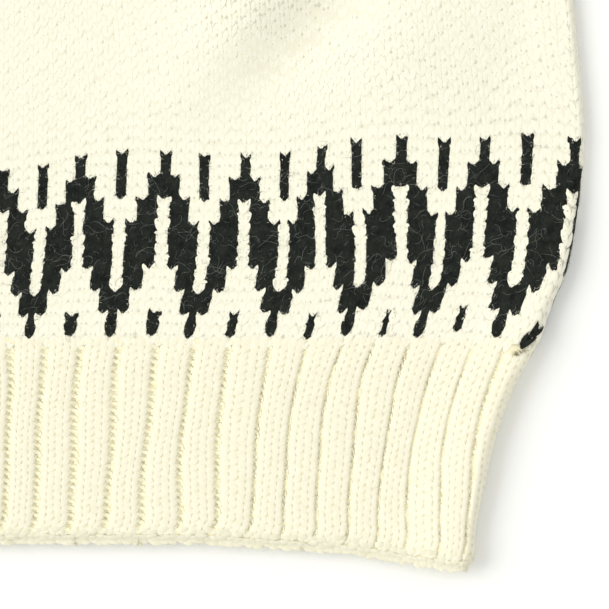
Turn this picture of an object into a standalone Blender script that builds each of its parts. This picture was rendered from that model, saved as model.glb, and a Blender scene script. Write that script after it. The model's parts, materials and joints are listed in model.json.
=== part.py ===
"""A long-sleeved pullover of heavy wool, laid flat on its back.

Metres, +Z up. The garment lies in the XY plane with its front up: the hem is
towards -Y, the neck towards +Y, and the wearer's left is +X. Its underside is
flat on Z = 0. The origin is under the middle of the bounding box.

Every piece is a wall of knitted cloth, lofted through sections that are worked
out from the named sizes below. A section of a flattened tube is a lower layer
that lies flat, an upper layer that lies on it, and a round fold at each edge,
where the thick cloth stands up a little before it turns.
"""

import math

import bmesh
import bpy

MM = 0.001

# ---- driving sizes -------------------------------------------------------
WALL = 3.0 * MM  # thickness of the body and sleeve knit
RIB_WALL = 3.6 * MM  # thickness of the ribs, whose columns stand up
SEAM = 0.3 * MM  # gap between two pieces at a seam
AIR = 0.6 * MM  # between two layers that lie on each other
FOLD_STAND = 2.6 * MM  # extra height of the upper layer at a folded edge
FOLD_REACH = 30.0 * MM  # how far in from the edge it comes down again

RIB_TOP = 78.4 * MM  # height of the hem rib, above the hem's middle
NECK_HALF = 88.0 * MM  # half width of the neck opening, at its seam
NECK_Y = 640.0 * MM  # the shoulder seam's inner end
FRONT_DROP = 80.0 * MM  # depth of the front neckline under it
BACK_DROP = 22.0 * MM
BAND_WIDTH = 26.0 * MM  # depth of the neckband
BAND_TOP_HALF = 68.0 * MM  # half width of its finished edge
BAND_TOP_Y = 655.0 * MM  # where that edge turns from front to back
NECK_TURNS = (0, 4, 8, 12, 17, 25, 36, 48, 61, 75, 90)  # columns round it, degrees
SHOULDER = (212.0 * MM, 608.0 * MM)  # shoulder tip
UNDERARM = (262.0 * MM, 400.0 * MM)
CUFF_DIR = (0.670, -0.742)  # the way that the lower sleeve points

# Half width of the laid body, from the hem up to the underarm.
SIDE = (  # (height above the hem's middle, half width), mm
    (-10.8, 219.6),
    (6.0, 220.6),
    (24.0, 224.2),
    (40.0, 227.8),
    (60.8, 234.4),
    (78.4, 243.6),
    (92.0, 249.6),
    (110.0, 257.6),
    (135.0, 262.4),
    (165.0, 264.8),
    (200.0, 261.8),
    (240.0, 258.6),
    (300.0, 257.8),
    (350.0, 259.6),
    (400.0, 262.0),
)
# The hem hangs lower towards its corners.
HEM = (  # (share of the half width, height), mm
    (0.0, 0.0),
    (0.50, 0.0),
    (0.62, -1.7),
    (0.76, -3.8),
    (0.90, -8.6),
    (0.96, -10.8),
    (1.0, -10.2),
)
# Soft ridges in the front: the thick cloth lies in low swells.
SWELLS = (  # (x, y, long way, short way, degrees, height), mm
    (-60.0, 120.0, 130.0, 45.0, 12.0, 1.6),
    (150.0, 205.0, 120.0, 38.0, -24.0, 1.9),
    (20.0, 330.0, 150.0, 50.0, 6.0, 1.5),
    (-150.0, 255.0, 120.0, 40.0, 32.0, 1.8),
    (95.0, 455.0, 120.0, 45.0, 40.0, 1.7),
    (-120.0, 470.0, 110.0, 40.0, -34.0, 1.6),
)
# Where each section of the sleeve stands, as shares along the underarm seam
# and along the top edge, and how much the section is drawn in.
SLEEVE = (  # (underarm share, top share, drawn in mm)
    (0.000, 0.000, 0.0),
    (0.035, 0.085, 0.0),
    (0.085, 0.180, 0.0),
    (0.160, 0.285, 0.0),
    (0.260, 0.395, 0.0),
    (0.380, 0.510, 0.0),
    (0.510, 0.625, 0.0),
    (0.650, 0.745, 0.0),
    (0.790, 0.860, 0.0),
    (0.910, 0.945, 0.6),
    (0.970, 0.980, 3.2),
    (1.000, 1.000, 8.0),
)
UNDERARM_SEAM = 414.0 * MM
WRIST = 112.0 * MM  # laid width of the sleeve before it is drawn in
TOP_HANDLE_OUT = (108.0 * MM, -38.0 * MM)  # the top edge leaves the shoulder so
TOP_HANDLE_IN = 205.0 * MM  # and meets the wrist along CUFF_DIR
CUFF_LENGTH = 72.0 * MM
CUFF_END_HALF = 43.0 * MM

LAID_LOW = -10.8 * MM  # lowest and highest edge of the laid garment
LAID_HIGH = 655.5 * MM
Y_SHIFT = -0.5 * (LAID_LOW + LAID_HIGH)


def table(rows, x, scale=MM):
    """Smooth reading of a two-column table, by cubic pieces."""
    n = len(rows)
    if x <= rows[0][0]:
        return rows[0][1] * scale
    if x >= rows[-1][0]:
        return rows[-1][1] * scale
    k = max(i for i in range(n - 1) if rows[i][0] <= x)

    def slope(i):
        a, b = max(i - 1, 0), min(i + 1, n - 1)
        return (rows[b][1] - rows[a][1]) / (rows[b][0] - rows[a][0])

    step = rows[k + 1][0] - rows[k][0]
    t = (x - rows[k][0]) / step
    p, q = rows[k][1], rows[k + 1][1]
    m, w = slope(k) * step, slope(k + 1) * step
    value = (
        (2 * t**3 - 3 * t**2 + 1) * p
        + (t**3 - 2 * t**2 + t) * m
        + (3 * t**2 - 2 * t**3) * q
        + (t**3 - t**2) * w
    )
    return value * scale


def ease(t):
    t = min(max(t, 0.0), 1.0)
    return t * t * (3 - 2 * t)


def half_width(y):
    """Half width of the laid body at height y."""
    if y >= UNDERARM[1]:
        t = (y - UNDERARM[1]) / (SHOULDER[1] - UNDERARM[1])
        return UNDERARM[0] + t * (SHOULDER[0] - UNDERARM[0])
    return table(SIDE, y / MM)


def hem_y(share):
    return table(HEM, abs(share))


def swell(x, y):
    total = 0.0
    for cx, cy, long_way, short_way, turn, high in SWELLS:
        c, s = math.cos(math.radians(turn)), math.sin(math.radians(turn))
        dx, dy = x / MM - cx, y / MM - cy
        a, b = (c * dx + s * dy) / long_way, (c * dy - s * dx) / short_way
        total += high * MM * math.exp(-2.2 * (a * a + b * b))
    return total


# ---- sections ------------------------------------------------------------
ARC = 4  # faces round each half of a fold


def fold_radius(wall, stand=FOLD_STAND):
    return 0.5 * (wall + AIR + stand)


def upper_mid(d, wall, stand=FOLD_STAND):
    """Middle height of the upper layer, d in from the tip of the fold."""
    r = fold_radius(wall, stand)
    return wall / 2 + wall + AIR + stand * ease(1 - (d - r) / FOLD_REACH)


def wall_points(points, wall):
    """(outer, inner) points of a wall, from (x, z, nx, nz) of its middle."""
    h = wall / 2
    outer = [(x + nx * h, z + nz * h) for x, z, nx, nz in points]
    inner = [(x - nx * h, z - nz * h) for x, z, nx, nz in points]
    return outer, inner


def half_section(shares, half, wall, upper, fold, extra=None):
    """Middle line of the upper or lower layer, from -half to +half.

    shares are where its columns stand, from 0 to 1 of the way to the fold.
    fold is 1 where the edge turns down to the other layer and 0 where it is
    sewn to a sleeve and stays flat. extra adds height to the upper layer.
    """
    r = fold_radius(wall)
    reach = half - wall / 2  # the middle line ends here, the outer face at half
    side = []
    for s in shares:
        x = s * (reach - r)
        d = reach - x
        if upper:
            z0 = wall / 2 + wall + AIR
            z = z0 + fold * (upper_mid(d, wall) - z0)
            if extra:
                z += extra(x) * ease((d - r) / (1.2 * FOLD_REACH))
            side.append((x, z, 0.0, 1.0))
        else:
            side.append((x, wall / 2, 0.0, 1.0))
    middle = wall / 2 + r
    end = math.degrees(math.asin(SEAM / 2 / r))
    for k in range(1, ARC + 1):
        turn = math.radians(90 - (90 - end) * k / ARC)
        c, s = math.cos(turn), math.sin(turn)
        round_x, round_z = reach - r + r * c, r * s
        flat_x = reach - r + (r + wall / 2) * k / ARC
        if upper:
            flat_z = wall / 2 + wall + AIR
            x = flat_x + fold * (round_x - flat_x)
            z = flat_z + fold * (middle + round_z - flat_z)
            nx, nz = fold * c, 1 + fold * (s - 1)
        else:
            flat_z = wall / 2
            x = flat_x + fold * (round_x - flat_x)
            z = flat_z + fold * (middle - round_z - flat_z)
            nx, nz = -fold * c, 1 + fold * (s - 1)
        size = math.hypot(nx, nz)
        side.append((x, z, nx / size, nz / size))
    left = [(-x, z, -nx, nz) for x, z, nx, nz in side if x > 1e-9]
    if extra and upper:
        r0 = reach - r
        for i, s in enumerate([s for s in shares if s > 0]):
            x = -s * r0
            d = reach + x
            z0 = wall / 2 + wall + AIR
            z = z0 + fold * (upper_mid(d, wall) - z0)
            z += extra(x) * ease((d - r) / (1.2 * FOLD_REACH))
            left[i] = (x, z, 0.0, 1.0)
    return left[::-1] + side


def tube_section(half, wall, flats, stand=FOLD_STAND):
    """Closed middle line of a flattened tube, centred, with its normals."""
    r = fold_radius(wall, stand)
    reach = half - wall / 2
    flat = reach - r
    middle = wall / 2 + r
    points = []
    for k in range(-flats, flats + 1):  # upper layer, from -x to +x
        x = flat * k / flats
        points.append((x, upper_mid(reach - abs(x), wall, stand), 0.0, 1.0))
    for k in range(1, 2 * ARC):
        turn = math.pi / 2 - math.pi * k / (2 * ARC)
        c, s = math.cos(turn), math.sin(turn)
        points.append((flat + r * c, middle + r * s, c, s))
    for k in range(flats, -flats - 1, -1):  # lower layer
        points.append((flat * k / flats, wall / 2, 0.0, -1.0))
    for k in range(1, 2 * ARC):
        turn = -math.pi / 2 - math.pi * k / (2 * ARC)
        c, s = math.cos(turn), math.sin(turn)
        points.append((-flat + r * c, middle + r * s, c, s))
    return points


# ---- meshes --------------------------------------------------------------
def material(name, colour, roughness):
    made = bpy.data.materials.new(name)
    made.use_nodes = True
    shader = made.node_tree.nodes["Principled BSDF"]
    shader.inputs["Base Color"].default_value = (*colour, 1.0)
    shader.inputs["Roughness"].default_value = roughness
    shader.inputs["Metallic"].default_value = 0.0
    made.diffuse_color = (*colour, 1.0)
    return made


def make_object(name, points, faces, finish):
    """One closed mesh with its faces pointing out, moved into the laid frame."""
    mesh = bpy.data.meshes.new(name)
    mesh.from_pydata([(x, y + Y_SHIFT, z) for x, y, z in points], [], faces)
    mesh.materials.append(finish)
    work = bmesh.new()
    work.from_mesh(mesh)
    bmesh.ops.recalc_face_normals(work, faces=work.faces)
    if work.calc_volume(signed=True) < 0:
        bmesh.ops.reverse_faces(work, faces=work.faces)
    work.to_mesh(mesh)
    work.free()
    mesh.shade_smooth()
    mesh.set_sharp_from_angle(angle=math.radians(50))
    obj = bpy.data.objects.new(name, mesh)
    bpy.context.scene.collection.objects.link(obj)
    return obj


def panel(name, rows, finish):
    """A wall from rows of (outer, inner) 3-D points: a sheet with thickness."""
    across, count = len(rows[0][0]), len(rows)
    points = [p for outer, _ in rows for p in outer]
    points += [p for _, inner in rows for p in inner]
    base = across * count

    def at(row, col, layer):
        return layer * base + row * across + col

    faces = []
    for r in range(count - 1):
        for c in range(across - 1):
            a, b = at(r, c, 0), at(r, c + 1, 0)
            d, e = at(r + 1, c, 0), at(r + 1, c + 1, 0)
            faces.append((a, b, e, d))
            faces.append(tuple(base + i for i in (a, d, e, b)))
        for c in (0, across - 1):
            faces.append((at(r, c, 0), at(r + 1, c, 0), at(r + 1, c, 1), at(r, c, 1)))
    for r in (0, count - 1):
        for c in range(across - 1):
            faces.append((at(r, c, 0), at(r, c + 1, 0), at(r, c + 1, 1), at(r, c, 1)))
    return make_object(name, points, faces, finish)


def tube(name, rings, finish):
    """A wall from rings of (outer, inner) 3-D points, open at both ends."""
    around, count = len(rings[0][0]), len(rings)
    points = [p for outer, _ in rings for p in outer]
    points += [p for _, inner in rings for p in inner]
    base = around * count
    faces = []
    for r in range(count - 1):
        for c in range(around):
            n = (c + 1) % around
            a, b = r * around + c, r * around + n
            d, e = a + around, b + around
            faces.append((a, b, e, d))
            faces.append((base + a, base + d, base + e, base + b))
    for r in (0, count - 1):
        for c in range(around):
            n = (c + 1) % around
            a, b = r * around + c, r * around + n
            faces.append((a, b, base + b, base + a))
    return make_object(name, points, faces, finish)


# ---- the body ------------------------------------------------------------
NECK_SHARE = NECK_HALF / SHOULDER[0]


def neck_y(x, drop):
    inside = max(0.0, 1 - (x / NECK_HALF) ** 2)
    return NECK_Y - drop * math.sqrt(inside)


def top_y(share, drop):
    """Top edge of a body panel: its neckline, then its shoulder."""
    x = abs(share) * SHOULDER[0]
    if x <= NECK_HALF:
        return neck_y(x, drop)
    t = (x - NECK_HALF) / (SHOULDER[0] - NECK_HALF)
    return NECK_Y + t * (SHOULDER[1] - NECK_Y)


def body_panel(name, upper, drop, finish):
    # Column places are shares of the way to the fold; one pair of them runs up
    # to the neck's corners.
    bottom = RIB_TOP + SEAM
    side_rows = (  # heights of the rows at the panel's side edge, mm
        78.7, 84.0, 92.0, 102.0, 116.0, 135.0, 165.0, 200.0, 240.0, 285.0,
        330.0, 372.0, 390.0, 400.0, 425.0, 465.0, 510.0, 555.0, 608.0,
    )  # fmt: skip
    corner_in = NECK_HALF / (SHOULDER[0] - WALL / 2 - fold_radius(WALL))
    shares = [corner_in * abs(math.cos(math.radians(a))) for a in NECK_TURNS[::-1]]
    shares[0] = 0.0
    shares += [0.56, 0.70, 0.83, 0.93, 1.0]
    rows = []
    for side_mm in side_rows:
        side = side_mm * MM
        v = (side - bottom) / (SHOULDER[1] - bottom)
        half = half_width(side)
        fold = 1.0 - ease((side - 388 * MM) / (12 * MM))
        calm = ease((side - bottom) / (40 * MM)) * ease((SHOULDER[1] - side) / (90 * MM))

        def extra(x, v=v, half=half, calm=calm):
            y = bottom + v * (top_y(x / half, drop) - bottom)
            return calm * swell(x, y)

        line = half_section(shares, half, WALL, upper, fold, extra if upper else None)
        place = []
        for x, z, nx, nz in line:
            share = min(1.0, abs(x) / (half - (1 - fold) * 0.0))
            y = bottom + v * (top_y(share, drop) - bottom)
            place.append(y)
        outer, inner = wall_points(line, WALL)
        rows.append(
            (
                [(x, y, z) for (x, z), y in zip(outer, place)],
                [(x, y, z) for (x, z), y in zip(inner, place)],
            )
        )
    return panel(name, rows, finish)


def rib_panel(name, upper, finish):
    shares = (0.0, 0.2, 0.4, 0.55, 0.68, 0.79, 0.88, 0.95, 1.0)
    rows = []
    for v in (0.0, 0.12, 0.35, 0.62, 0.86, 1.0):
        middle = v * RIB_TOP
        half = half_width(table(HEM, 1.0) + v * (RIB_TOP - table(HEM, 1.0)))
        line = half_section(shares, half, RIB_WALL, upper, 1.0)
        place = []
        for x, z, nx, nz in line:
            low = hem_y(min(1.0, abs(x) / half))
            place.append(low + v * (RIB_TOP - low))
        outer, inner = wall_points(line, RIB_WALL)
        rows.append(
            (
                [(x, y, z) for (x, z), y in zip(outer, place)],
                [(x, y, z) for (x, z), y in zip(inner, place)],
            )
        )
    return panel(name, rows, finish)


# ---- sleeves and cuffs ---------------------------------------------------
def underarm_at(t):
    s = t * UNDERARM_SEAM
    return (UNDERARM[0] + CUFF_DIR[0] * s, UNDERARM[1] + CUFF_DIR[1] * s)


def across_cuff():
    return (-CUFF_DIR[1], CUFF_DIR[0])


def top_at(t):
    """The sleeve's top edge, one cubic from the shoulder tip to the wrist."""
    low, n = underarm_at(1.0), across_cuff()
    end = (low[0] + n[0] * WRIST, low[1] + n[1] * WRIST)
    first = (SHOULDER[0] + TOP_HANDLE_OUT[0], SHOULDER[1] + TOP_HANDLE_OUT[1])
    last = (end[0] - CUFF_DIR[0] * TOP_HANDLE_IN, end[1] - CUFF_DIR[1] * TOP_HANDLE_IN)
    a, b, c, d = (1 - t) ** 3, 3 * t * (1 - t) ** 2, 3 * t * t * (1 - t), t**3
    return tuple(
        a * SHOULDER[i] + b * first[i] + c * last[i] + d * end[i] for i in (0, 1)
    )


def ring(low, high, wall, flats, side, stand=FOLD_STAND):
    """A flattened tube's section standing on the line from low to high."""
    dx, dy = high[0] - low[0], high[1] - low[1]
    size = math.hypot(dx, dy)
    ux, uy = dx / size, dy / size
    cx, cy = (low[0] + high[0]) / 2, (low[1] + high[1]) / 2
    line = tube_section(size / 2, wall, flats, stand)
    outer, inner = wall_points(line, wall)
    return tuple(
        [(side * (cx + ux * a), cy + uy * a, z) for a, z in layer]
        for layer in (outer, inner)
    )


def sleeve(name, side, finish):
    rings = []
    n = (SHOULDER[1] - UNDERARM[1], UNDERARM[0] - SHOULDER[0])
    size = math.hypot(*n)
    off = (n[0] / size * SEAM, n[1] / size * SEAM)
    for t_low, t_top, drawn in SLEEVE:
        low, high = underarm_at(t_low), top_at(t_top)
        if t_low == 0.0:
            low = (low[0] + off[0], low[1] + off[1])
            high = (high[0] + off[0], high[1] + off[1])
        dx, dy = high[0] - low[0], high[1] - low[1]
        k = drawn * MM / math.hypot(dx, dy)
        low, high = (
            (low[0] + dx * k, low[1] + dy * k),
            (high[0] - dx * k, high[1] - dy * k),
        )
        rings.append(ring(low, high, WALL, 6, side))
    return tube(name, rings, finish)


def cuff(name, side, finish):
    low, n = underarm_at(1.0), across_cuff()
    cx, cy = low[0] + n[0] * WRIST / 2, low[1] + n[1] * WRIST / 2
    start_half = WRIST / 2 - SLEEVE[-1][2] * MM
    rings = []
    for t in (0.0, 0.3, 0.65, 1.0):
        s = SEAM + t * CUFF_LENGTH
        half = start_half + (CUFF_END_HALF - start_half) * math.sin(t * math.pi / 2)
        px, py = cx + CUFF_DIR[0] * s, cy + CUFF_DIR[1] * s
        rings.append(
            ring(
                (px - n[0] * half, py - n[1] * half),
                (px + n[0] * half, py + n[1] * half),
                RIB_WALL,
                5,
                side,
                FOLD_STAND - 0.8 * MM,
            )
        )
    return tube(name, rings, finish)


# ---- the neckband --------------------------------------------------------
def neckband(finish):
    """A ring of rib whose front half lies on the back of the garment."""
    angles = list(NECK_TURNS) + [180 - a for a in NECK_TURNS[-2::-1]]
    angles = [-a for a in angles[::-1]] + angles[1:-1]  # -180 to 176
    stand = 1.4 * MM
    r = 0.5 * (WALL + AIR + stand)
    z_mid = WALL / 2 + r

    def level(angle, half):
        """Middle height at this turn; the fold's outline is half a circle."""
        c, s = math.cos(angle), math.sin(angle)
        inset = min(1.0, half / r * (1 - abs(c)))
        up = r * math.sqrt(1 - (1 - inset) ** 2)
        if s <= 0:  # the front, on top
            far = half * (1 - abs(c)) - r
            fall = stand * (1 - ease(1 - far / (0.9 * FOLD_REACH)))
            return z_mid + up - (fall if far > 0 else 0.0)
        return z_mid - up

    def rim(half, y, front, back, angle):
        c, s = math.cos(angle), math.sin(angle)
        depth = front if s <= 0 else back
        return (half * c, y - depth * abs(s))

    front_top = BAND_TOP_Y - (NECK_Y - FRONT_DROP + BAND_WIDTH)
    back_top = BAND_TOP_Y - (NECK_Y - BACK_DROP + BAND_WIDTH)
    grid = []
    for t in (0.0, 0.5, 1.0):
        line = []
        for degrees in angles:
            a = math.radians(degrees)
            # Its fold stands out a little, so it starts further in at the sides.
            low = rim(
                NECK_HALF - 3 * SEAM, NECK_Y, FRONT_DROP - SEAM, BACK_DROP - SEAM, a
            )
            high = rim(BAND_TOP_HALF, BAND_TOP_Y, front_top, back_top, a)
            half = NECK_HALF + t * (BAND_TOP_HALF - NECK_HALF)
            line.append(
                (
                    low[0] + t * (high[0] - low[0]),
                    low[1] + t * (high[1] - low[1]),
                    level(a, half),
                )
            )
        grid.append(line)
    around = len(angles)
    rings = []
    for j, line in enumerate(grid):
        outer, inner = [], []
        up, down = grid[min(j + 1, 2)], grid[max(j - 1, 0)]
        for i, p in enumerate(line):
            q, o = line[(i + 1) % around], line[i - 1]
            along = [q[k] - o[k] for k in range(3)]
            rise = [up[i][k] - down[i][k] for k in range(3)]
            n = (
                along[1] * rise[2] - along[2] * rise[1],
                along[2] * rise[0] - along[0] * rise[2],
                along[0] * rise[1] - along[1] * rise[0],
            )
            size = math.sqrt(sum(v * v for v in n))
            h = WALL / 2 / size
            outer.append(tuple(p[k] + n[k] * h for k in range(3)))
            inner.append(tuple(p[k] - n[k] * h for k in range(3)))
        rings.append((outer, inner))
    return tube("neckband", rings, finish)


def main():
    for obj in list(bpy.data.objects):
        bpy.data.objects.remove(obj)
    cream = (0.905, 0.865, 0.745)
    rib_cream = (0.885, 0.835, 0.690)
    body_panel("front_body", True, FRONT_DROP, material("front_wool", cream, 0.95))
    body_panel("back_body", False, BACK_DROP, material("back_wool", cream, 0.95))
    rib_panel("hem_rib_front", True, material("hem_front_wool", rib_cream, 0.95))
    rib_panel("hem_rib_back", False, material("hem_back_wool", rib_cream, 0.95))
    sleeve("sleeve_left", 1, material("sleeve_left_wool", cream, 0.95))
    sleeve("sleeve_right", -1, material("sleeve_right_wool", cream, 0.95))
    cuff("cuff_left", 1, material("cuff_left_wool", rib_cream, 0.95))
    cuff("cuff_right", -1, material("cuff_right_wool", rib_cream, 0.95))
    neckband(material("neckband_wool", rib_cream, 0.95))


main()
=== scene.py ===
"""The looks of a heavy wool pullover that lies flat on its back.

Sizes are in millimetres of the laid garment (X across, Y up from the hem) until
they go into a mesh, which is in metres in the shared frame. Stitches stand on a
lattice: u counts wales from the front's middle line round the tube, r counts
rows of the pattern band downwards from its top. A wale is about 4.1 mm wide
and a row about 4.5 mm high. PITCH_U and PITCH_R below are one wale and one row
in the units of the stitch outlines, 0.4 mm each.
"""

import json
import math

import bpy  # noqa: E402
import numpy as np  # noqa: E402
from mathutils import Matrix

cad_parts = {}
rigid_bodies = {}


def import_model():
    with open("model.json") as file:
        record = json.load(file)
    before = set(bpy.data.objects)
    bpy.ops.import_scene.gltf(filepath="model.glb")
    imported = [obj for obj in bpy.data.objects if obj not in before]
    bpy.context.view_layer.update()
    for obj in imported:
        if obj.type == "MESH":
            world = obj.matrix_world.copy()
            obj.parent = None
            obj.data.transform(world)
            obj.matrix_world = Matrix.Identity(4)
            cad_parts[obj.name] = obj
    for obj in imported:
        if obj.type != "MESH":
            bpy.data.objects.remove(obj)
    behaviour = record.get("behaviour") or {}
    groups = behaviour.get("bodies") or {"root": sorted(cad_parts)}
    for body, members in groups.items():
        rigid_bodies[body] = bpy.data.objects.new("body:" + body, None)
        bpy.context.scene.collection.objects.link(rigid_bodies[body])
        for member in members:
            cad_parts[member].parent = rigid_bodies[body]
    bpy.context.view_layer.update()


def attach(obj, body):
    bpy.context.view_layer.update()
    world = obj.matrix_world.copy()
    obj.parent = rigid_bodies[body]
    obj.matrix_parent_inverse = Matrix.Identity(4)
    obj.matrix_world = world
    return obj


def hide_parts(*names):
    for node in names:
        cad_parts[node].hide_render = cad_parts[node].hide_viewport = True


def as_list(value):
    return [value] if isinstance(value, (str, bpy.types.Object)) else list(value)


for startup in list(bpy.data.objects):
    bpy.data.objects.remove(startup)
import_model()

MM = 0.001
Y_SHIFT = -322.35  # laid Y to the frame's Y
UNIT = 0.4  # mm in one unit of the outlines and of the lattice tables
PITCH_U = 10.3
PITCH_R = 11.16
RNG = np.random.default_rng(41)


# ---- camera ---------------------------------------------------------------
def add_camera():
    """Straight above the lower right part of the front, with a long lens."""
    high, shown = 1.2, 0.2436
    lens = bpy.data.cameras.new("camera")
    lens.sensor_width = 36.0
    lens.lens = 36.0 * high / shown
    lens.clip_start, lens.clip_end = 0.05, 20.0
    obj = bpy.data.objects.new("camera", lens)
    obj.location = (0.1526, (94.6 + Y_SHIFT) * MM, high + 0.007)
    obj.rotation_euler = (0.0, 0.0, 0.0)
    bpy.context.scene.collection.objects.link(obj)
    bpy.context.scene.camera = obj


add_camera()


# ---- small tools ----------------------------------------------------------
def ease(t):
    t = np.clip(t, 0.0, 1.0)
    return t * t * (3 - 2 * t)


def curve_of(rows):
    """A smooth reading of a two-column table, by cubic pieces."""
    xs = np.array([r[0] for r in rows], float)
    ys = np.array([r[1] for r in rows], float)
    slope = np.empty_like(ys)
    slope[1:-1] = (ys[2:] - ys[:-2]) / (xs[2:] - xs[:-2])
    slope[0] = (ys[1] - ys[0]) / (xs[1] - xs[0])
    slope[-1] = (ys[-1] - ys[-2]) / (xs[-1] - xs[-2])
    fine = np.linspace(xs[0], xs[-1], 3001)
    k = np.clip(np.searchsorted(xs, fine, side="right") - 1, 0, len(xs) - 2)
    step = xs[k + 1] - xs[k]
    t = (fine - xs[k]) / step
    value = (
        (2 * t**3 - 3 * t**2 + 1) * ys[k]
        + (t**3 - 2 * t**2 + t) * slope[k] * step
        + (3 * t**2 - 2 * t**3) * ys[k + 1]
        + (t**3 - t**2) * slope[k + 1] * step
    )
    return lambda x: np.interp(x, fine, value)


def waves(x, y, rows):
    """A sum of slow waves: (length x, length y, phase, height) each."""
    total = 0.0
    for lx, ly, phase, high in rows:
        total = total + high * np.sin(x / lx * 6.2832 + phase) * np.cos(
            y / ly * 6.2832 + 1.7 * phase
        )
    return total


def lifted(surface, p, q, h, dp=0.05, dq=0.05):
    """Points h mm off a surface at (p, q), along its normal. p, q and h agree."""
    return with_axes(surface, p, q, h, dp, dq)[0]


def unit(v):
    return v / (np.linalg.norm(v, axis=-1, keepdims=True) + 1e-12)


def with_axes(surface, p, q, h, dp, dq):
    """Those points, with the surface's directions there: p, across p, normal."""
    base = surface(p, q)
    along = unit(surface(p + dp, q) - surface(p - dp, q))
    up = surface(p, q + dq) - surface(p, q - dq)
    normal = unit(np.cross(along, up))
    return base + normal * np.asarray(h)[..., None], along, np.cross(normal, along), normal


# ---- the laid body --------------------------------------------------------
SIDE = curve_of(
    [  # (height above the hem's middle, half width)
        (-10.8, 219.6), (6.0, 220.6), (24.0, 224.2), (40.0, 227.8), (60.8, 234.4),
        (78.4, 243.6), (92.0, 249.6), (110.0, 257.6), (135.0, 262.4), (165.0, 264.8),
        (200.0, 261.8), (240.0, 258.6), (300.0, 257.8), (350.0, 259.6), (400.0, 262.0),
    ]
)  # fmt: skip
HEM = curve_of(
    [  # (share of the half width, height)
        (0.0, 0.0), (0.50, 0.0), (0.62, -1.7), (0.76, -3.8), (0.90, -8.6),
        (0.96, -10.8), (1.0, -10.2),
    ]
)  # fmt: skip
SWELLS = (  # (x, y, long way, short way, degrees, height)
    (-60.0, 120.0, 130.0, 45.0, 12.0, 1.6),
    (150.0, 205.0, 120.0, 38.0, -24.0, 1.9),
    (20.0, 330.0, 150.0, 50.0, 6.0, 1.5),
    (-150.0, 255.0, 120.0, 40.0, 32.0, 1.8),
    (95.0, 455.0, 120.0, 45.0, 40.0, 1.7),
    (-120.0, 470.0, 110.0, 40.0, -34.0, 1.6),
)
CREASES = (  # soft troughs (below 0) and ridges, as above
    (154.0, 203.0, 52.0, 22.0, 42.0, -4.1),
    (135.0, 221.0, 56.0, 25.0, 42.0, 3.6),
    (118.0, 186.0, 50.0, 20.0, 30.0, 0.6),
    (192.0, 196.0, 50.0, 30.0, 70.0, 1.2),
    (236.0, 196.0, 60.0, 20.0, 84.0, -1.0),
    (36.0, 268.0, 90.0, 20.0, -18.0, -1.7),
    (-90.0, 205.0, 95.0, 17.0, -28.0, -1.6),
    (-196.0, 150.0, 55.0, 14.0, -58.0, -1.4),
    (-30.0, 430.0, 110.0, 24.0, 20.0, -1.8),
    (150.0, 372.0, 90.0, 18.0, 34.0, -2.0),
    (205.0, 395.0, 58.0, 13.0, 40.0, 1.5),
    (-185.0, 380.0, 80.0, 17.0, -36.0, -2.0),
    (-160.0, 330.0, 70.0, 14.0, -20.0, 1.4),
    (60.0, 530.0, 80.0, 20.0, -12.0, -1.4),
    (-100.0, 560.0, 70.0, 18.0, 16.0, -1.3),
)
SHOULDER = (212.0, 608.0)
UNDERARM = (262.0, 400.0)
RIB_TOP = 78.4
NECK_HALF, NECK_Y, FRONT_DROP, BACK_DROP = 88.0, 640.0, 80.0, 22.0
BODY_TURN, BODY_TOP = 4.6, 6.6  # outer radius of the fold, top away from it
RIB_TURN, RIB_LEVEL = 5.2, 7.8
STAND, REACH = 2.6, 30.0


def half_width(y):
    above = UNDERARM[0] + (y - UNDERARM[1]) / (SHOULDER[1] - UNDERARM[1]) * (
        SHOULDER[0] - UNDERARM[0]
    )
    return np.where(y >= UNDERARM[1], above, SIDE(y))


def bumps(x, y, rows):
    total = 0.0
    for cx, cy, long_way, short_way, turn, high in rows:
        c, s = math.cos(math.radians(turn)), math.sin(math.radians(turn))
        a = (c * (x - cx) + s * (y - cy)) / long_way
        b = (c * (y - cy) - s * (x - cx)) / short_way
        total = total + high * np.exp(-2.2 * (a * a + b * b))
    return total


def turn_of(y):
    """Outer radius of the body's fold: the plain cloth lies flatter."""
    return 2.9 + (BODY_TURN - 2.9) * (1 - ease((y - 84.0) / 80.0))


def front_height(x, y):
    """Outer height of the front panel away from its fold."""
    inside = half_width(y) - turn_of(y) - np.abs(x)
    fold = 1 - ease((y - 388.0) / 12.0)
    calm = ease((y - 78.7) / 40.0) * ease((632.0 - y) / 90.0)
    z = BODY_TOP + fold * (2 * turn_of(y) - BODY_TOP) * ease(1 - inside / REACH)
    z = z + calm * bumps(x, y, SWELLS) * ease(inside / 36.0)
    z = z + ease((y - 82.0) / 22.0) * bumps(x, y, CREASES) * ease(inside / 16.0)
    return z


def body_place(a, y):
    """Outer point at arc a from the front's middle line, either way round."""
    side = np.where(a < 0, -1.0, 1.0)
    t = np.abs(a)
    turn = turn_of(y)
    flat = half_width(y) - turn
    quarter = turn * math.pi / 2
    fold = 1 - ease((y - 388.0) / 12.0)
    k = np.clip((t - flat) / quarter, 0.0, 2.0)
    round_x = flat + turn * np.sin(k * math.pi / 2)
    round_z = turn + turn * np.cos(k * math.pi / 2)
    flat_x = flat + turn * (1 - np.abs(1 - k))
    flat_z = np.where(k <= 1, BODY_TOP, 0.0)
    x = fold * round_x + (1 - fold) * flat_x
    z = fold * round_z + (1 - fold) * flat_z
    x = np.where(t <= flat, t, np.where(k < 2, x, 2 * flat + 2 * quarter - t))
    z = np.where(t <= flat, front_height(t * side, y), np.where(k < 2, z, 0.0))
    return np.stack([x * side, y + 0 * t, z], -1)


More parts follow.
